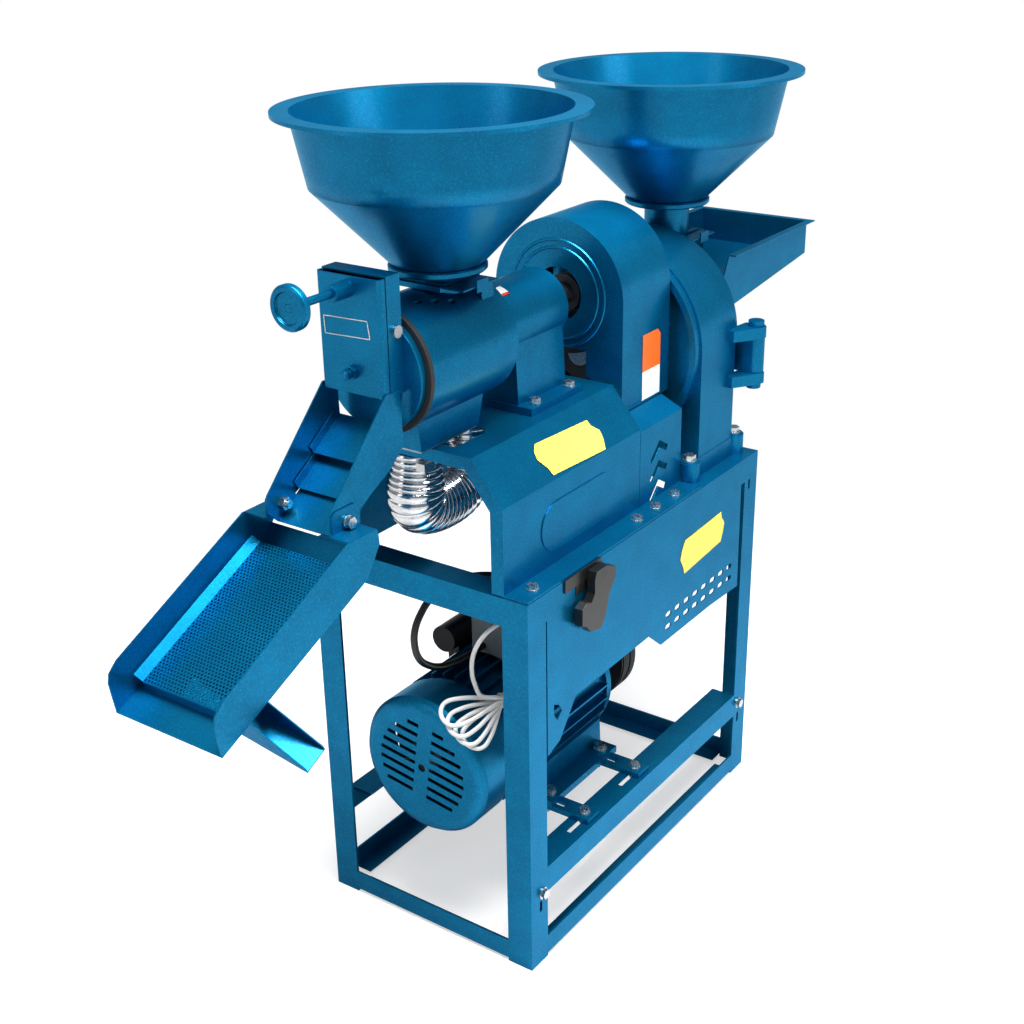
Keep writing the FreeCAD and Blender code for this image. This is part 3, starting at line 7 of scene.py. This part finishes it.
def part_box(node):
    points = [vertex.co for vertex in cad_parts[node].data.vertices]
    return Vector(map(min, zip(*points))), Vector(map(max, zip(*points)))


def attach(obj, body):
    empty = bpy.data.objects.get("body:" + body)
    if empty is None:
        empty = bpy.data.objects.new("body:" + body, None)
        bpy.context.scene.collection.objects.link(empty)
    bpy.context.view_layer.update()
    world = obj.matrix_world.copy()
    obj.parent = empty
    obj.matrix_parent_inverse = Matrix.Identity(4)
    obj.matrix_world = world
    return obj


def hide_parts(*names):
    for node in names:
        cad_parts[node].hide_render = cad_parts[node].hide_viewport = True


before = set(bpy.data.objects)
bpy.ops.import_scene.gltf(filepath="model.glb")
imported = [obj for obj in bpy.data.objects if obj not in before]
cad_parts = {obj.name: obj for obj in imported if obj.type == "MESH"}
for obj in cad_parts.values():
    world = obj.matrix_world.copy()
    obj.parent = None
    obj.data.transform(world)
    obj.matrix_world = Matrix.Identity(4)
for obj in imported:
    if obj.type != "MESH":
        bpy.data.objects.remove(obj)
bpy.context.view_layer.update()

bpy.context.scene.view_settings.view_transform = "Standard"

# ---------------------------------------------------------------------------------------------
# Camera: a short telephoto look down on the huller's end and the switch side of the stand.
camera = bpy.data.objects.new("camera", bpy.data.cameras.new("camera"))
bpy.context.scene.collection.objects.link(camera)
bpy.context.scene.camera = camera
camera.data.lens = 52.756
camera.data.shift_x = 0.004
yaw, pitch, roll = math.radians(35.672), math.radians(23.731), math.radians(-1.0647)
turn = Matrix.Rotation(yaw - math.pi / 2, 4, "Z") @ Matrix.Rotation(math.pi / 2 - pitch, 4, "X")
camera.matrix_world = Matrix.Translation((-1.609916, -1.124313, 1.425001)) @ turn @ Matrix.Rotation(roll, 4, "Z")

# ---------------------------------------------------------------------------------------------
# Studio: a pale floor that fades to white, one big soft lamp overhead, a strip lamp to the left
# of the machine and a weak one on the switch side. The sky is a plain pale grey.
def add(material, kind, values=None, links=None, **settings):
    """Adds one shader node with its settings, its input values and the sockets linked to it."""
    made = material.node_tree.nodes.new("ShaderNode" + kind)
    for name, value in settings.items():
        setattr(made, name, value)
    for name, value in (values or {}).items():
        made.inputs[name].default_value = value
    for name, source in (links or {}).items():
        material.node_tree.links.new(source, made.inputs[name])
    return made


def blank(name):
    """A new material with no nodes in it."""
    material = bpy.data.materials.new(name)
    material.use_nodes = True
    material.node_tree.nodes.clear()
    return material


floor_paper = blank("white_paper_sweep")
place = add(floor_paper, "NewGeometry")
paper = add(floor_paper, "BsdfDiffuse", {"Color": (0.6, 0.6, 0.6, 1)})
seen = add(floor_paper, "LightPath")
lift = add(floor_paper, "Math", {1: 0.55}, {0: seen.outputs["Is Camera Ray"]}, operation="MULTIPLY")
glow = add(floor_paper, "Emission", {"Color": (1, 1, 1, 1)}, {"Strength": lift.outputs[0]})
near = add(floor_paper, "AddShader", links={0: paper.outputs[0], 1: glow.outputs[0]})
direct = add(floor_paper, "Math", links={0: seen.outputs["Is Camera Ray"], 1: seen.outputs["Is Glossy Ray"]}, operation="MAXIMUM")
through = add(floor_paper, "Math", links={0: direct.outputs[0], 1: seen.outputs["Is Transmission Ray"]}, operation="MAXIMUM")
far_glow = add(floor_paper, "MapRange", {"To Min": 0.35, "To Max": 1.0}, {"Value": through.outputs[0]})
white = add(floor_paper, "Emission", {"Color": (1, 1, 1, 1)}, {"Strength": far_glow.outputs[0]})
reach = add(floor_paper, "VectorMath", links={0: place.outputs["Position"]}, operation="LENGTH")
fade = add(floor_paper, "MapRange", {"From Min": 0.75, "From Max": 1.6}, {"Value": reach.outputs["Value"]})
mixed = add(floor_paper, "MixShader", links={0: fade.outputs[0], 1: near.outputs[0], 2: white.outputs[0]})
add(floor_paper, "OutputMaterial", links={"Surface": mixed.outputs[0]})
floor_mesh = bpy.data.meshes.new("floor")
floor_mesh.from_pydata([(-30, -30, 0), (30, -30, 0), (30, 30, 0), (-30, 30, 0)], [], [(0, 1, 2, 3)])
floor_mesh.materials.append(floor_paper)
floor = bpy.data.objects.new("floor", floor_mesh)
bpy.context.scene.collection.objects.link(floor)

for name, spot, aim, across, deep, power in (
    ("overhead", (-0.15, -0.5, 2.8), (0.05, 0, 0.5), 1.8, 1.4, 215),
    ("left_strip", (-2.2, 0.9, 1.6), (0, 0, 0.7), 0.7, 1.8, 6),
    ("switch_side", (0.4, -2.6, 1.7), (0.1, 0, 0.6), 1.2, 1.6, 14),
):
    lamp = bpy.data.lights.new(name, "AREA")
    lamp.shape = "RECTANGLE"
    lamp.size, lamp.size_y, lamp.energy = across, deep, power
    rig = bpy.data.objects.new(name, lamp)
    rig.matrix_world = Matrix.Translation(spot) @ (Vector(spot) - Vector(aim)).to_track_quat("Z", "Y").to_matrix().to_4x4()
    bpy.context.scene.collection.objects.link(rig)
sky = bpy.data.worlds.new("studio")
bpy.context.scene.world = sky
sky.use_nodes = True
sky.node_tree.nodes["Background"].inputs["Color"].default_value = (0.9, 0.95, 1.0, 1)
sky.node_tree.nodes["Background"].inputs["Strength"].default_value = 0.28

# ---------------------------------------------------------------------------------------------
# The stand: four posts and ten rails of rolled steel angle, welded, and sprayed with blue
# textured enamel. Long edges are bevelled and catch the light; rails carry the motor below.
def hexcolor(code):
    """An sRGB hex colour as linear red, green, blue and alpha."""
    parts = [int(code[i:i + 2], 16) / 255 for i in (1, 3, 5)]
    return [p / 12.92 if p < 0.04045 else ((p + 0.055) / 1.055) ** 2.4 for p in parts] + [1.0]


def enamel(name, thin, body, deep, grain_mm=2.2, bump=0.12, roughness=0.36):
    """Baked textured enamel on steel: fine metallic speckle in a coloured coat, orange-peel bump."""
    paint = blank(name)
    where = add(paint, "TexCoord")
    grain = add(paint, "TexNoise", {"Scale": 1000 / grain_mm, "Detail": 2.0, "Roughness": 0.6}, {"Vector": where.outputs["Object"]})
    pools = add(paint, "TexNoise", {"Scale": 1000 / 45, "Detail": 3.0, "Roughness": 0.55}, {"Vector": where.outputs["Object"]})
    coat = add(paint, "ValToRGB", links={"Fac": pools.outputs["Fac"]})
    coat.color_ramp.elements[0].position, coat.color_ramp.elements[0].color = 0.3, hexcolor(deep)
    coat.color_ramp.elements[1].position, coat.color_ramp.elements[1].color = 0.7, hexcolor(body)
    fleck = add(paint, "MapRange", {"From Min": 0.5, "From Max": 0.8, "To Max": 0.55}, {"Value": grain.outputs["Fac"]})
    speckled = add(paint, "Mix", links={0: fleck.outputs[0], 6: coat.outputs["Color"]}, data_type="RGBA")
    speckled.inputs[7].default_value = hexcolor(thin)
    sheen = add(paint, "MapRange", {"From Min": 0.3, "From Max": 0.7, "To Min": roughness + 0.05, "To Max": roughness - 0.05}, {"Value": grain.outputs["Fac"]})
    peel = add(paint, "Bump", {"Strength": bump, "Distance": 0.0006}, {"Height": grain.outputs["Fac"]})
    surface = add(paint, "BsdfPrincipled", {
        "Metallic": 0.85, "Specular IOR Level": 0.3, "Specular Tint": (0.2, 0.75, 1.0, 1),
        "Coat Weight": 0.12, "Coat Roughness": 0.16}, {
        "Base Color": speckled.outputs[2], "Roughness": sheen.outputs[0], "Normal": peel.outputs[0]})
    add(paint, "OutputMaterial", links={"Surface": surface.outputs[0]})
    return paint


def dress(names, material, edge=0.0008):
    """Gives CAD nodes their finish and breaks their sharp edges, which then catch the light."""
    for name in names.split():
        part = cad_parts[name]
        part.data.materials.clear()
        part.data.materials.append(material)
        weld = part.modifiers.new("weld", "WELD")
        weld.merge_threshold = 0.00001
        if edge:
            flat = part.modifiers.new("flat_faces", "DECIMATE")
            flat.decimate_type, flat.angle_limit = "DISSOLVE", math.radians(0.5)
            flat.use_dissolve_boundaries = False
            broken = part.modifiers.new("broken_edge", "BEVEL")
            broken.width, broken.segments, broken.limit_method = edge, 2, "ANGLE"
            broken.angle_limit = math.radians(40)
        smooth = part.modifiers.new("smooth", "NODES")
        smooth.node_group = smooth_group
        part.modifiers.new("flat_shading", "WEIGHTED_NORMAL").keep_sharp = True


smooth_group = bpy.data.node_groups.new("smooth_by_angle", "GeometryNodeTree")
smooth_group.interface.new_socket("Geometry", in_out="INPUT", socket_type="NodeSocketGeometry")
smooth_group.interface.new_socket("Geometry", in_out="OUTPUT", socket_type="NodeSocketGeometry")
group_in, group_out, fold, limit, shade_all, sharpen = [smooth_group.nodes.new(kind) for kind in (
    "NodeGroupInput", "NodeGroupOutput", "GeometryNodeInputMeshEdgeAngle", "FunctionNodeCompare",
    "GeometryNodeSetShadeSmooth", "GeometryNodeSetShadeSmooth")]
limit.operation, limit.inputs[1].default_value = "LESS_THAN", math.radians(32)
sharpen.domain = "EDGE"
smooth_group.links.new(group_in.outputs[0], shade_all.inputs["Geometry"])
smooth_group.links.new(shade_all.outputs[0], sharpen.inputs["Geometry"])
smooth_group.links.new(fold.outputs["Unsigned Angle"], limit.inputs[0])
smooth_group.links.new(limit.outputs[0], sharpen.inputs["Shade Smooth"])
smooth_group.links.new(sharpen.outputs[0], group_out.inputs[0])

blue = enamel("blue_textured_enamel", "#0E9BCE", "#05709C", "#04648E")
dress("frame_posts frame_rails side_panel", blue, 0.0012)

# ---------------------------------------------------------------------------------------------
# Sheet metal over the stand: the sloped base under the huller, the belt guard and its foot,
# folded from 2 to 3 mm steel and bolted down, in the same enamel.
dress("huller_base guard_base belt_guard bearing_housing", blue, 0.0008)

# ---------------------------------------------------------------------------------------------
# The huller: cast drum and outlet head, the outlet box with its cover, stepped chute below.
dress("huller_drum outlet_head outlet_box outlet_cover chute adjusting_bolt", blue, 0.0008)
dress("pressure_screw handwheel", blue, 0.0006)

# ---------------------------------------------------------------------------------------------
# The hoppers and their neck gates: spun steel funnels with a rolled rim.
dress("huller_hopper crusher_hopper", blue, 0)
dress("huller_gate crusher_gate", blue, 0.0006)

# ---------------------------------------------------------------------------------------------
# The crusher: iron casting with a hinged door, its feed tray, and the bearing behind it.
dress("crusher_casing crusher_bearing_housing crusher_door hinge_pin feed_tray", blue, 0.001)

# ---------------------------------------------------------------------------------------------
# Tray and motor castings in the same blue.
dress("sieve_tray motor_body motor_cowl motor_bars", blue, 0.0008)


def piece(name, mesh, material, body, smooth=True):
    """Puts a finished mesh in the scene as a piece of the machine, on its body."""
    mesh.materials.clear()
    mesh.materials.append(material)
    for face in mesh.polygons:
        face.use_smooth = smooth
    made = bpy.data.objects.new(name, mesh)
    bpy.context.scene.collection.objects.link(made)
    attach(made, body)
    return made


# ---------------------------------------------------------------------------------------------
# The sieve in the tray: one steel sheet punched with round holes in staggered rows, its long
# edges turned up; grain slides over it and bran and broken rice fall through to the spout.
M_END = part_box("frame_posts")[0].x
tilt = math.radians(25.5)


def machine(points):
    """Points in millimetres from the stand's huller end, as metres in the machine's frame."""
    return [Vector((M_END + x / 1000, y / 1000, z / 1000)) for x, y, z in points]


def tray_spot(down, side, up):
    """A point of the tilted tray in millimetres: down its slope, to its side, up off its floor."""
    x = -181 - down * math.cos(tilt) - up * math.sin(tilt)
    z = 722.6 - down * math.sin(tilt) + up * math.cos(tilt)
    return machine([(x, side, z)])[0]


def punched_sheet(start, end, half, up, pitch, hole):
    """A flat sheet with a round hole in each cell of staggered rows, and plain strips at its ends."""
    mesh = bmesh.new()
    row = pitch * 0.866
    rows = int((end - start) / row)
    cells = int(2 * half / pitch)
    for r in range(rows):
        a0, a1 = start + r * row, start + (r + 1) * row
        left = -half + (pitch / 2 if r % 2 else 0)
        count = cells - (1 if r % 2 else 0)
        for c in range(count):
            b0, b1 = left + c * pitch, left + (c + 1) * pitch
            mid_a, mid_b = (a0 + a1) / 2, (b0 + b1) / 2
            ring = [mesh.verts.new(tray_spot(mid_a + hole * math.sin(t), mid_b + hole * math.cos(t), up))
                    for t in [math.pi / 4 * k + math.pi / 8 for k in range(8)]]
            edge = [mesh.verts.new(tray_spot(a, b, up)) for a, b in
                    ((mid_a, b1), (a1, b1), (a1, mid_b), (a1, b0), (mid_a, b0), (a0, b0), (a0, mid_b), (a0, b1))]
            for k in range(8):
                n = (k + 1) % 8
                mesh.faces.new((ring[k], ring[n], edge[n], edge[k]))
        right = left + count * pitch
        for b0, b1 in ((-half, left), (right, half)):
            if b1 - b0 > 0.01:
                mesh.faces.new([mesh.verts.new(tray_spot(a, b, up)) for a, b in ((a0, b0), (a0, b1), (a1, b1), (a1, b0))])
    last = start + rows * row
    mesh.faces.new([mesh.verts.new(tray_spot(a, b, up)) for a, b in ((last, -half), (last, half), (end, half), (end, -half))])
    bmesh.ops.remove_doubles(mesh, verts=mesh.verts, dist=0.00002)
    bmesh.ops.recalc_face_normals(mesh, faces=mesh.faces)
    sheet = bpy.data.meshes.new("punched_sheet")
    mesh.to_mesh(sheet)
    mesh.free()
    return sheet


def strip(name, stations, start, end):
    """A folded strip along the tray between two stations, from its section points (side, up)."""
    mesh = bmesh.new()
    rows = [[mesh.verts.new(tray_spot(a, b, u)) for b, u in stations] for a in (start, end)]
    for k in range(len(stations) - 1):
        mesh.faces.new((rows[0][k], rows[0][k + 1], rows[1][k + 1], rows[1][k]))
    out = bpy.data.meshes.new(name)
    mesh.to_mesh(out)
    mesh.free()
    return out


def thicken(made, thickness):
    """Gives a sheet its thickness, inwards from the side it was drawn on."""
    solid = made.modifiers.new("thickness", "SOLIDIFY")
    solid.thickness, solid.offset = thickness, 0
    return made


sieve = thicken(piece("sieve_sheet", punched_sheet(40, 262, 70, -34.9, 5.0, 1.5), blue, "tray", False), 0.0009)
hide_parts("tray_sieve")
for side in (-1, 1):
    edge = strip("sieve_edge", [(side * 70, -34.9), (side * 79.3, -25.8)], 40, 262)
    thicken(piece("sieve_edge_" + ("far" if side > 0 else "near"), edge, blue, "tray", False), 0.0011)
apron = bmesh.new()
apron.faces.new([apron.verts.new(tray_spot(a, b, u)) for a, b, u in ((262, -70, -35), (262, 70, -35), (264, 70, -45.5), (264, -70, -45.5))])
apron_mesh = bpy.data.meshes.new("sieve_apron")
apron.to_mesh(apron_mesh)
apron.free()
thicken(piece("sieve_apron", apron_mesh, blue, "tray", False), 0.0012)

# ---------------------------------------------------------------------------------------------
# The suction duct: 60 mm flexible duct wound from bright steel strip, its folds 6 mm apart,
# pushed over the bran spigot and held by a worm clamp, and bent round into the base.
duct_route = [(37, 20, 728), (37, 20, 696), (30, 20, 650), (62, 20, 636), (120, 20, 636), (150, 20, 664), (148, 20, 743)]


def spline(name, points, radius=0.0):
    """One open NURBS line whose control points are given, with a round section if it has a radius."""
    curve = bpy.data.curves.new(name, "CURVE")
    curve.dimensions, curve.resolution_u = "3D", 12
    line = curve.splines.new("NURBS")
    line.points.add(len(points) - 1)
    for spot, point in zip(line.points, points):
        spot.co = (*point, 1)
    line.order_u = 3
    line.use_endpoint_u = True
    curve.bevel_depth = radius
    curve.bevel_resolution = 5
    return curve


def line_points(curve, step):
    """Evenly spaced points along a spline with no section."""
    holder = bpy.data.objects.new("line", curve)
    bpy.context.scene.collection.objects.link(holder)
    bpy.context.view_layer.update()
    mesh = bpy.data.meshes.new_from_object(holder.evaluated_get(bpy.context.evaluated_depsgraph_get()))
    spots = [v.co.copy() for v in mesh.vertices]
    bpy.data.objects.remove(holder)
    bpy.data.meshes.remove(mesh)
    walked, out, left = 0.0, [spots[0]], step
    for a, b in zip(spots, spots[1:]):
        span = (b - a).length
        while span > 1e-9 and left <= span:
            a = a + (b - a) * (left / span)
            span -= left
            out.append(a.copy())
            left = step
        left -= span
    return out


def hose(name, spots, radius_at, sides=40):
    """A tube mesh round a line; radius_at gives the radius at a distance along it."""
    mesh, ring, along = bmesh.new(), None, 0.0
    side = Vector((0, 1, 0))
    for i, spot in enumerate(spots):
        ahead = (spots[min(i + 1, len(spots) - 1)] - spots[max(i - 1, 0)]).normalized()
        side = (side - ahead * side.dot(ahead)).normalized()
        up = ahead.cross(side)
        r = radius_at(along)
        new = [mesh.verts.new(spot + (side * math.cos(a) + up * math.sin(a)) * r)
               for a in [2 * math.pi * k / sides for k in range(sides)]]
        if ring:
            for k in range(sides):
                mesh.faces.new((ring[k], ring[(k + 1) % sides], new[(k + 1) % sides], new[k]))
        ring = new
        if i + 1 < len(spots):
            along += (spots[i + 1] - spot).length
    out = bpy.data.meshes.new(name)
    mesh.to_mesh(out)
    mesh.free()
    return out


def steel(name, colour, roughness, brushed=0.0, metallic=1.0):
    """Bare or plated steel: fine mottled polish, colour a little uneven."""
    metal = blank(name)
    where = add(metal, "TexCoord")
    mottle = add(metal, "TexNoise", {"Scale": 1000 / 3, "Detail": 3.0}, {"Vector": where.outputs["Object"]})
    tone = add(metal, "ValToRGB", links={"Fac": mottle.outputs["Fac"]})
    light = hexcolor(colour)
    tone.color_ramp.elements[0].position, tone.color_ramp.elements[0].color = 0.3, [c * 0.82 for c in light[:3]] + [1]
    tone.color_ramp.elements[1].position, tone.color_ramp.elements[1].color = 0.7, light
    worn = add(metal, "MapRange", {"From Min": 0.3, "From Max": 0.7, "To Min": roughness - 0.06, "To Max": roughness + 0.1}, {"Value": mottle.outputs["Fac"]})
    fine = add(metal, "Bump", {"Strength": 0.02, "Distance": 0.0002}, {"Height": mottle.outputs["Fac"]})
    surface = add(metal, "BsdfPrincipled", {"Metallic": metallic}, {
        "Base Color": tone.outputs["Color"], "Roughness": worn.outputs[0], "Normal": fine.outputs[0]})
    add(metal, "OutputMaterial", links={"Surface": surface.outputs[0]})
    return metal


zinc = steel("zinc_plated_steel", "#D5D8DA", 0.26)
ground = steel("ground_steel", "#B9BBBD", 0.3)
iron = steel("machined_cast_iron", "#4A4C4E", 0.5)
dress("m8_bolts m10_bolts duct_clamp", zinc, 0.0004)
dress("huller_shaft crusher_shaft motor_shaft shaft_bearings rice_screen crusher_screen pressure_flap flap_pin flap_spring bran_spigot", ground, 0)
dress("huller_roller crusher_rotor huller_pulley crusher_pulley motor_pulley", iron, 0.0005)


def plastic(name, colour, roughness, grain_mm=0.8, bump=0.08):
    """Moulded plastic or rubber: one colour a little uneven, fine moulded grain."""
    made = blank(name)
    where = add(made, "TexCoord")
    grain = add(made, "TexNoise", {"Scale": 1000 / grain_mm, "Detail": 2.0}, {"Vector": where.outputs["Object"]})
    tone = add(made, "ValToRGB", links={"Fac": grain.outputs["Fac"]})
    light = hexcolor(colour)
    tone.color_ramp.elements[0].position, tone.color_ramp.elements[0].color = 0.3, [c * 0.86 for c in light[:3]] + [1]
    tone.color_ramp.elements[1].position, tone.color_ramp.elements[1].color = 0.7, light
    fine = add(made, "Bump", {"Strength": bump, "Distance": 0.0003}, {"Height": grain.outputs["Fac"]})
    surface = add(made, "BsdfPrincipled", {"Roughness": roughness, "IOR": 1.5}, {
        "Base Color": tone.outputs["Color"], "Normal": fine.outputs[0]})
    add(made, "OutputMaterial", links={"Surface": surface.outputs[0]})
    return made


rubber = plastic("black_rubber", "#1A1B1C", 0.6)
dress("head_gasket huller_belt crusher_belts", rubber, 0.0005)
black = plastic("black_bakelite", "#101112", 0.33)
dress("switch_body switch_lever capacitor conduit motor_fan", black, 0.0006)
grey = plastic("grey_abs", "#7D8588", 0.45)
dress("terminal_box", grey, 0.0006)

chrome = steel("bright_duct_strip", "#E6E8EA", 0.14)
duct_line = line_points(spline("duct_line", machine(duct_route)), 0.0010)


def duct_radius(run):
    """The duct's radius along its run: clamped small at the spigot, then round folds 9 mm apart."""
    body = 0.0305 + 0.0055 * min(1.0, max(0.0, (run - 0.018) / 0.03))
    return body + 0.0028 * abs(math.sin(math.pi * run / 0.009)) ** 0.7


ribbed = hose("duct_ribs", duct_line, duct_radius)
duct = piece("duct_ribs", ribbed, chrome, "stand")
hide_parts("suction_duct")

# ---------------------------------------------------------------------------------------------
# The power cord: 6 mm round white PVC lead, out of the switch box's strain relief, down to a
# hank tied at its waist that lies on the motor's cowl; its plug hangs behind the near post.
pvc = plastic("white_pvc_sheath", "#F1F1EE", 0.34, 1.5, 0.04)
cord_route = [(66, -150, 533), (42, -147, 533), (20, -128, 528), (7, -104, 506), (3, -88, 474),
              (7, -82, 442), (18, -80, 414), (31, -78, 391)]
hank_middle = Vector((55.5, -96, 381))
along = Vector((0.890, -0.355, 0.285)).normalized()
outward = Vector((-0.447, -0.563, 0.695)).normalized()
across = outward.cross(along)


def hank_point(u, v, w, fan=0.0):
    """A point of the hank: u along it, v across, w outward, swung by fan degrees about its waist."""
    a = math.radians(fan)
    spot = hank_middle + along * (u * math.cos(a) - v * math.sin(a)) + across * (u * math.sin(a) + v * math.cos(a)) + outward * w
    return tuple(spot)


turns, layer = 4, 6.6
lobe = ((26, 9), (52, 17), (80, 19), (91, 0), (80, -19), (52, -17), (26, -9))
turn_points = [hank_point(-8, 5, 15.5)]
for k in range(turns):
    w = 12.5 - layer * k
    size = 1 - 0.05 * k
    right_fan, left_fan = (-8, 10, -14, 4)[k], (-17, -4, 9, 19)[k]
    turn_points.append(hank_point(0, 1, w))
    for i, (u, v) in enumerate(lobe):
        turn_points.append(hank_point(u * size, v, w - layer * 0.5 * (i > 3), right_fan))
    turn_points.append(hank_point(0, -1, w - layer * 0.5))
    for i, (u, v) in enumerate(lobe):
        turn_points.append(hank_point(-u * size, -v, w - layer * (0.5 + 0.5 * (i > 3)), left_fan))
turn_points += [hank_point(0, 1, 12.5 - layer * turns), hank_point(24, -4, 12.5 - layer * turns)]
tail = [(94, -112, 366), (90, -124, 356), (82, -131, 346), (80, -132, 338), (80, -132, 330)]
cord_curve = spline("power_lead", machine(cord_route + turn_points + tail), 0.003)
lead = bpy.data.objects.new("power_lead", cord_curve)
bpy.context.scene.collection.objects.link(lead)
cord_curve.materials.append(pvc)
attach(lead, "stand")
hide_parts("power_cord", "cord_hank")
lead_line = line_points(spline("lead_line", machine(cord_route + turn_points + tail)), 0.002)
dress("cord_plug", pvc, 0.0006)

# The tie round the hank's waist: a flat PVC-covered wire, twisted shut on the outer side.
tie_line = [hank_point(0, 9.5 * math.cos(t), 17.5 * math.sin(t) - 1) for t in [2 * math.pi * k / 20 for k in range(21)]]
tie = bpy.data.objects.new("hank_tie", spline("hank_tie", machine(tie_line), 0.0016))
tie.data.materials.append(pvc)
bpy.context.scene.collection.objects.link(tie)
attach(tie, "stand")

# ---------------------------------------------------------------------------------------------
# The decals: printed vinyl, 0.2 mm thick, stuck on the sheet metal and cut to shape. They carry
# plain bands of colour and no words.
def vinyl(name, colour, band=None, axis="X", start=0.0, end=1.0):
    """Gloss printed vinyl with a fine print mottle, and one band of a second colour if given."""
    made = blank(name)
    where = add(made, "TexCoord")
    mottle = add(made, "TexNoise", {"Scale": 1000 / 4, "Detail": 3.0}, {"Vector": where.outputs["Object"]})
    tone = add(made, "ValToRGB", links={"Fac": mottle.outputs["Fac"]})
    light = hexcolor(colour)
    tone.color_ramp.elements[0].position, tone.color_ramp.elements[0].color = 0.25, [c * 0.9 for c in light[:3]] + [1]
    tone.color_ramp.elements[1].position, tone.color_ramp.elements[1].color = 0.6, light
    out = tone.outputs["Color"]
    if band:
        spot = add(made, "SeparateXYZ", links={0: where.outputs["Object"]})
        inside = add(made, "Math", {1: start}, {0: spot.outputs[axis]}, operation="GREATER_THAN")
        below = add(made, "Math", {1: end}, {0: spot.outputs[axis]}, operation="LESS_THAN")
        both = add(made, "Math", links={0: inside.outputs[0], 1: below.outputs[0]}, operation="MULTIPLY")
        mixed_band = add(made, "Mix", links={0: both.outputs[0], 6: out}, data_type="RGBA")
        mixed_band.inputs[7].default_value = hexcolor(band)
        out = mixed_band.outputs[2]
    surface = add(made, "BsdfPrincipled", {"Roughness": 0.3, "IOR": 1.5}, {"Base Color": out})
    add(made, "OutputMaterial", links={"Surface": surface.outputs[0]})
    return made


def decal(name, corners, material, lift, thickness=0.0002):
    """A flat decal from its corner points, lifted off the sheet along its own normal."""
    points = machine(corners)
    normal = (points[1] - points[0]).cross(points[2] - points[1]).normalized()
    towards = camera.location - points[0]
    if normal.dot(towards) < 0:
        normal = -normal
    mesh = bpy.data.meshes.new(name)
    mesh.from_pydata([p + normal * lift for p in points], [], [list(range(len(points)))])
    return thicken(piece(name, mesh, material, "stand", False), thickness)


yellow = vinyl("yellow_vinyl", "#FBE65A")
decal("base_decal", [(119.3, -108.3, 731.2), (238.2, -111.3, 727.5), (240, -117, 720), (251.1, -123.8, 711.7), (249, -131, 702),
                     (240.5, -140.1, 691.2), (119.4, -137.2, 694.8), (117, -130, 704), (107.8, -120.6, 715.7), (110, -114, 724)], yellow, 0.0012)
decal("panel_decal", [(403, -178, 504), (513, -178, 509), (516, -178, 498), (525, -178, 487), (521, -178, 473), (515, -178, 459),
                      (403, -178, 450), (399, -178, 462), (390, -178, 477), (394, -178, 491)], yellow, 0.0006)

red = vinyl("red_vinyl", "#D8391C", "#F2F1EC", "Z", machine([(0, 0, 905)])[0].z, 2.0)


def arc_decal(name, x0, x1, radius, centre_z, first, last, material, lift=0.0006):
    """A decal wrapped round a tube that lies along X, between two angles from straight up."""
    mesh = bmesh.new()
    steps = 12
    rows = []
    for x in (x0, x1):
        row = []
        for k in range(steps + 1):
            a = math.radians(first + (last - first) * k / steps)
            spot = machine([(x, -radius * math.sin(a), centre_z + radius * math.cos(a))])[0]
            out = Vector((0, -math.sin(a), math.cos(a)))
            row.append(mesh.verts.new(spot + out * lift))
        rows.append(row)
    for k in range(steps):
        mesh.faces.new((rows[0][k], rows[0][k + 1], rows[1][k + 1], rows[1][k]))
    out_mesh = bpy.data.meshes.new(name)
    mesh.to_mesh(out_mesh)
    mesh.free()
    return thicken(piece(name, out_mesh, material, "stand", True), 0.0002)


arc_decal("bearing_decal", 160, 184, 51, 860, 14, 34, red)
orange = vinyl("orange_vinyl", "#F26A1B", "#EDEDEA", "Z", 0.0, 0.750)
decal("guard_decal", [(393, -106, 708), (442, -106, 708), (442, -106, 796), (434, -106, 804), (393, -106, 804)], orange, 0.0006)
guard_red = vinyl("red_and_white_vinyl", "#D8391C")
arc_decal("guard_top_decal", 391, 446, 106, 860, -18, 20, guard_red)
cover_white = vinyl("white_vinyl_line", "#F2F1EC")
for k, (a, b) in enumerate((((38, 934), (-28, 936)), ((-28, 936), (-31, 915)), ((-31, 915), (37, 912.5)), ((37, 912.5), (38, 934)))):
    way = Vector((b[0] - a[0], b[1] - a[1])).normalized()
    off = Vector((-way.y, way.x)) * 0.55
    corners = [(-98, a[0] + off.x, a[1] + off.y), (-98, b[0] + off.x, b[1] + off.y), (-98, b[0] - off.x, b[1] - off.y), (-98, a[0] - off.x, a[1] - off.y)]
    decal("cover_line_%d" % (k + 1), corners, cover_white, 0.0006)
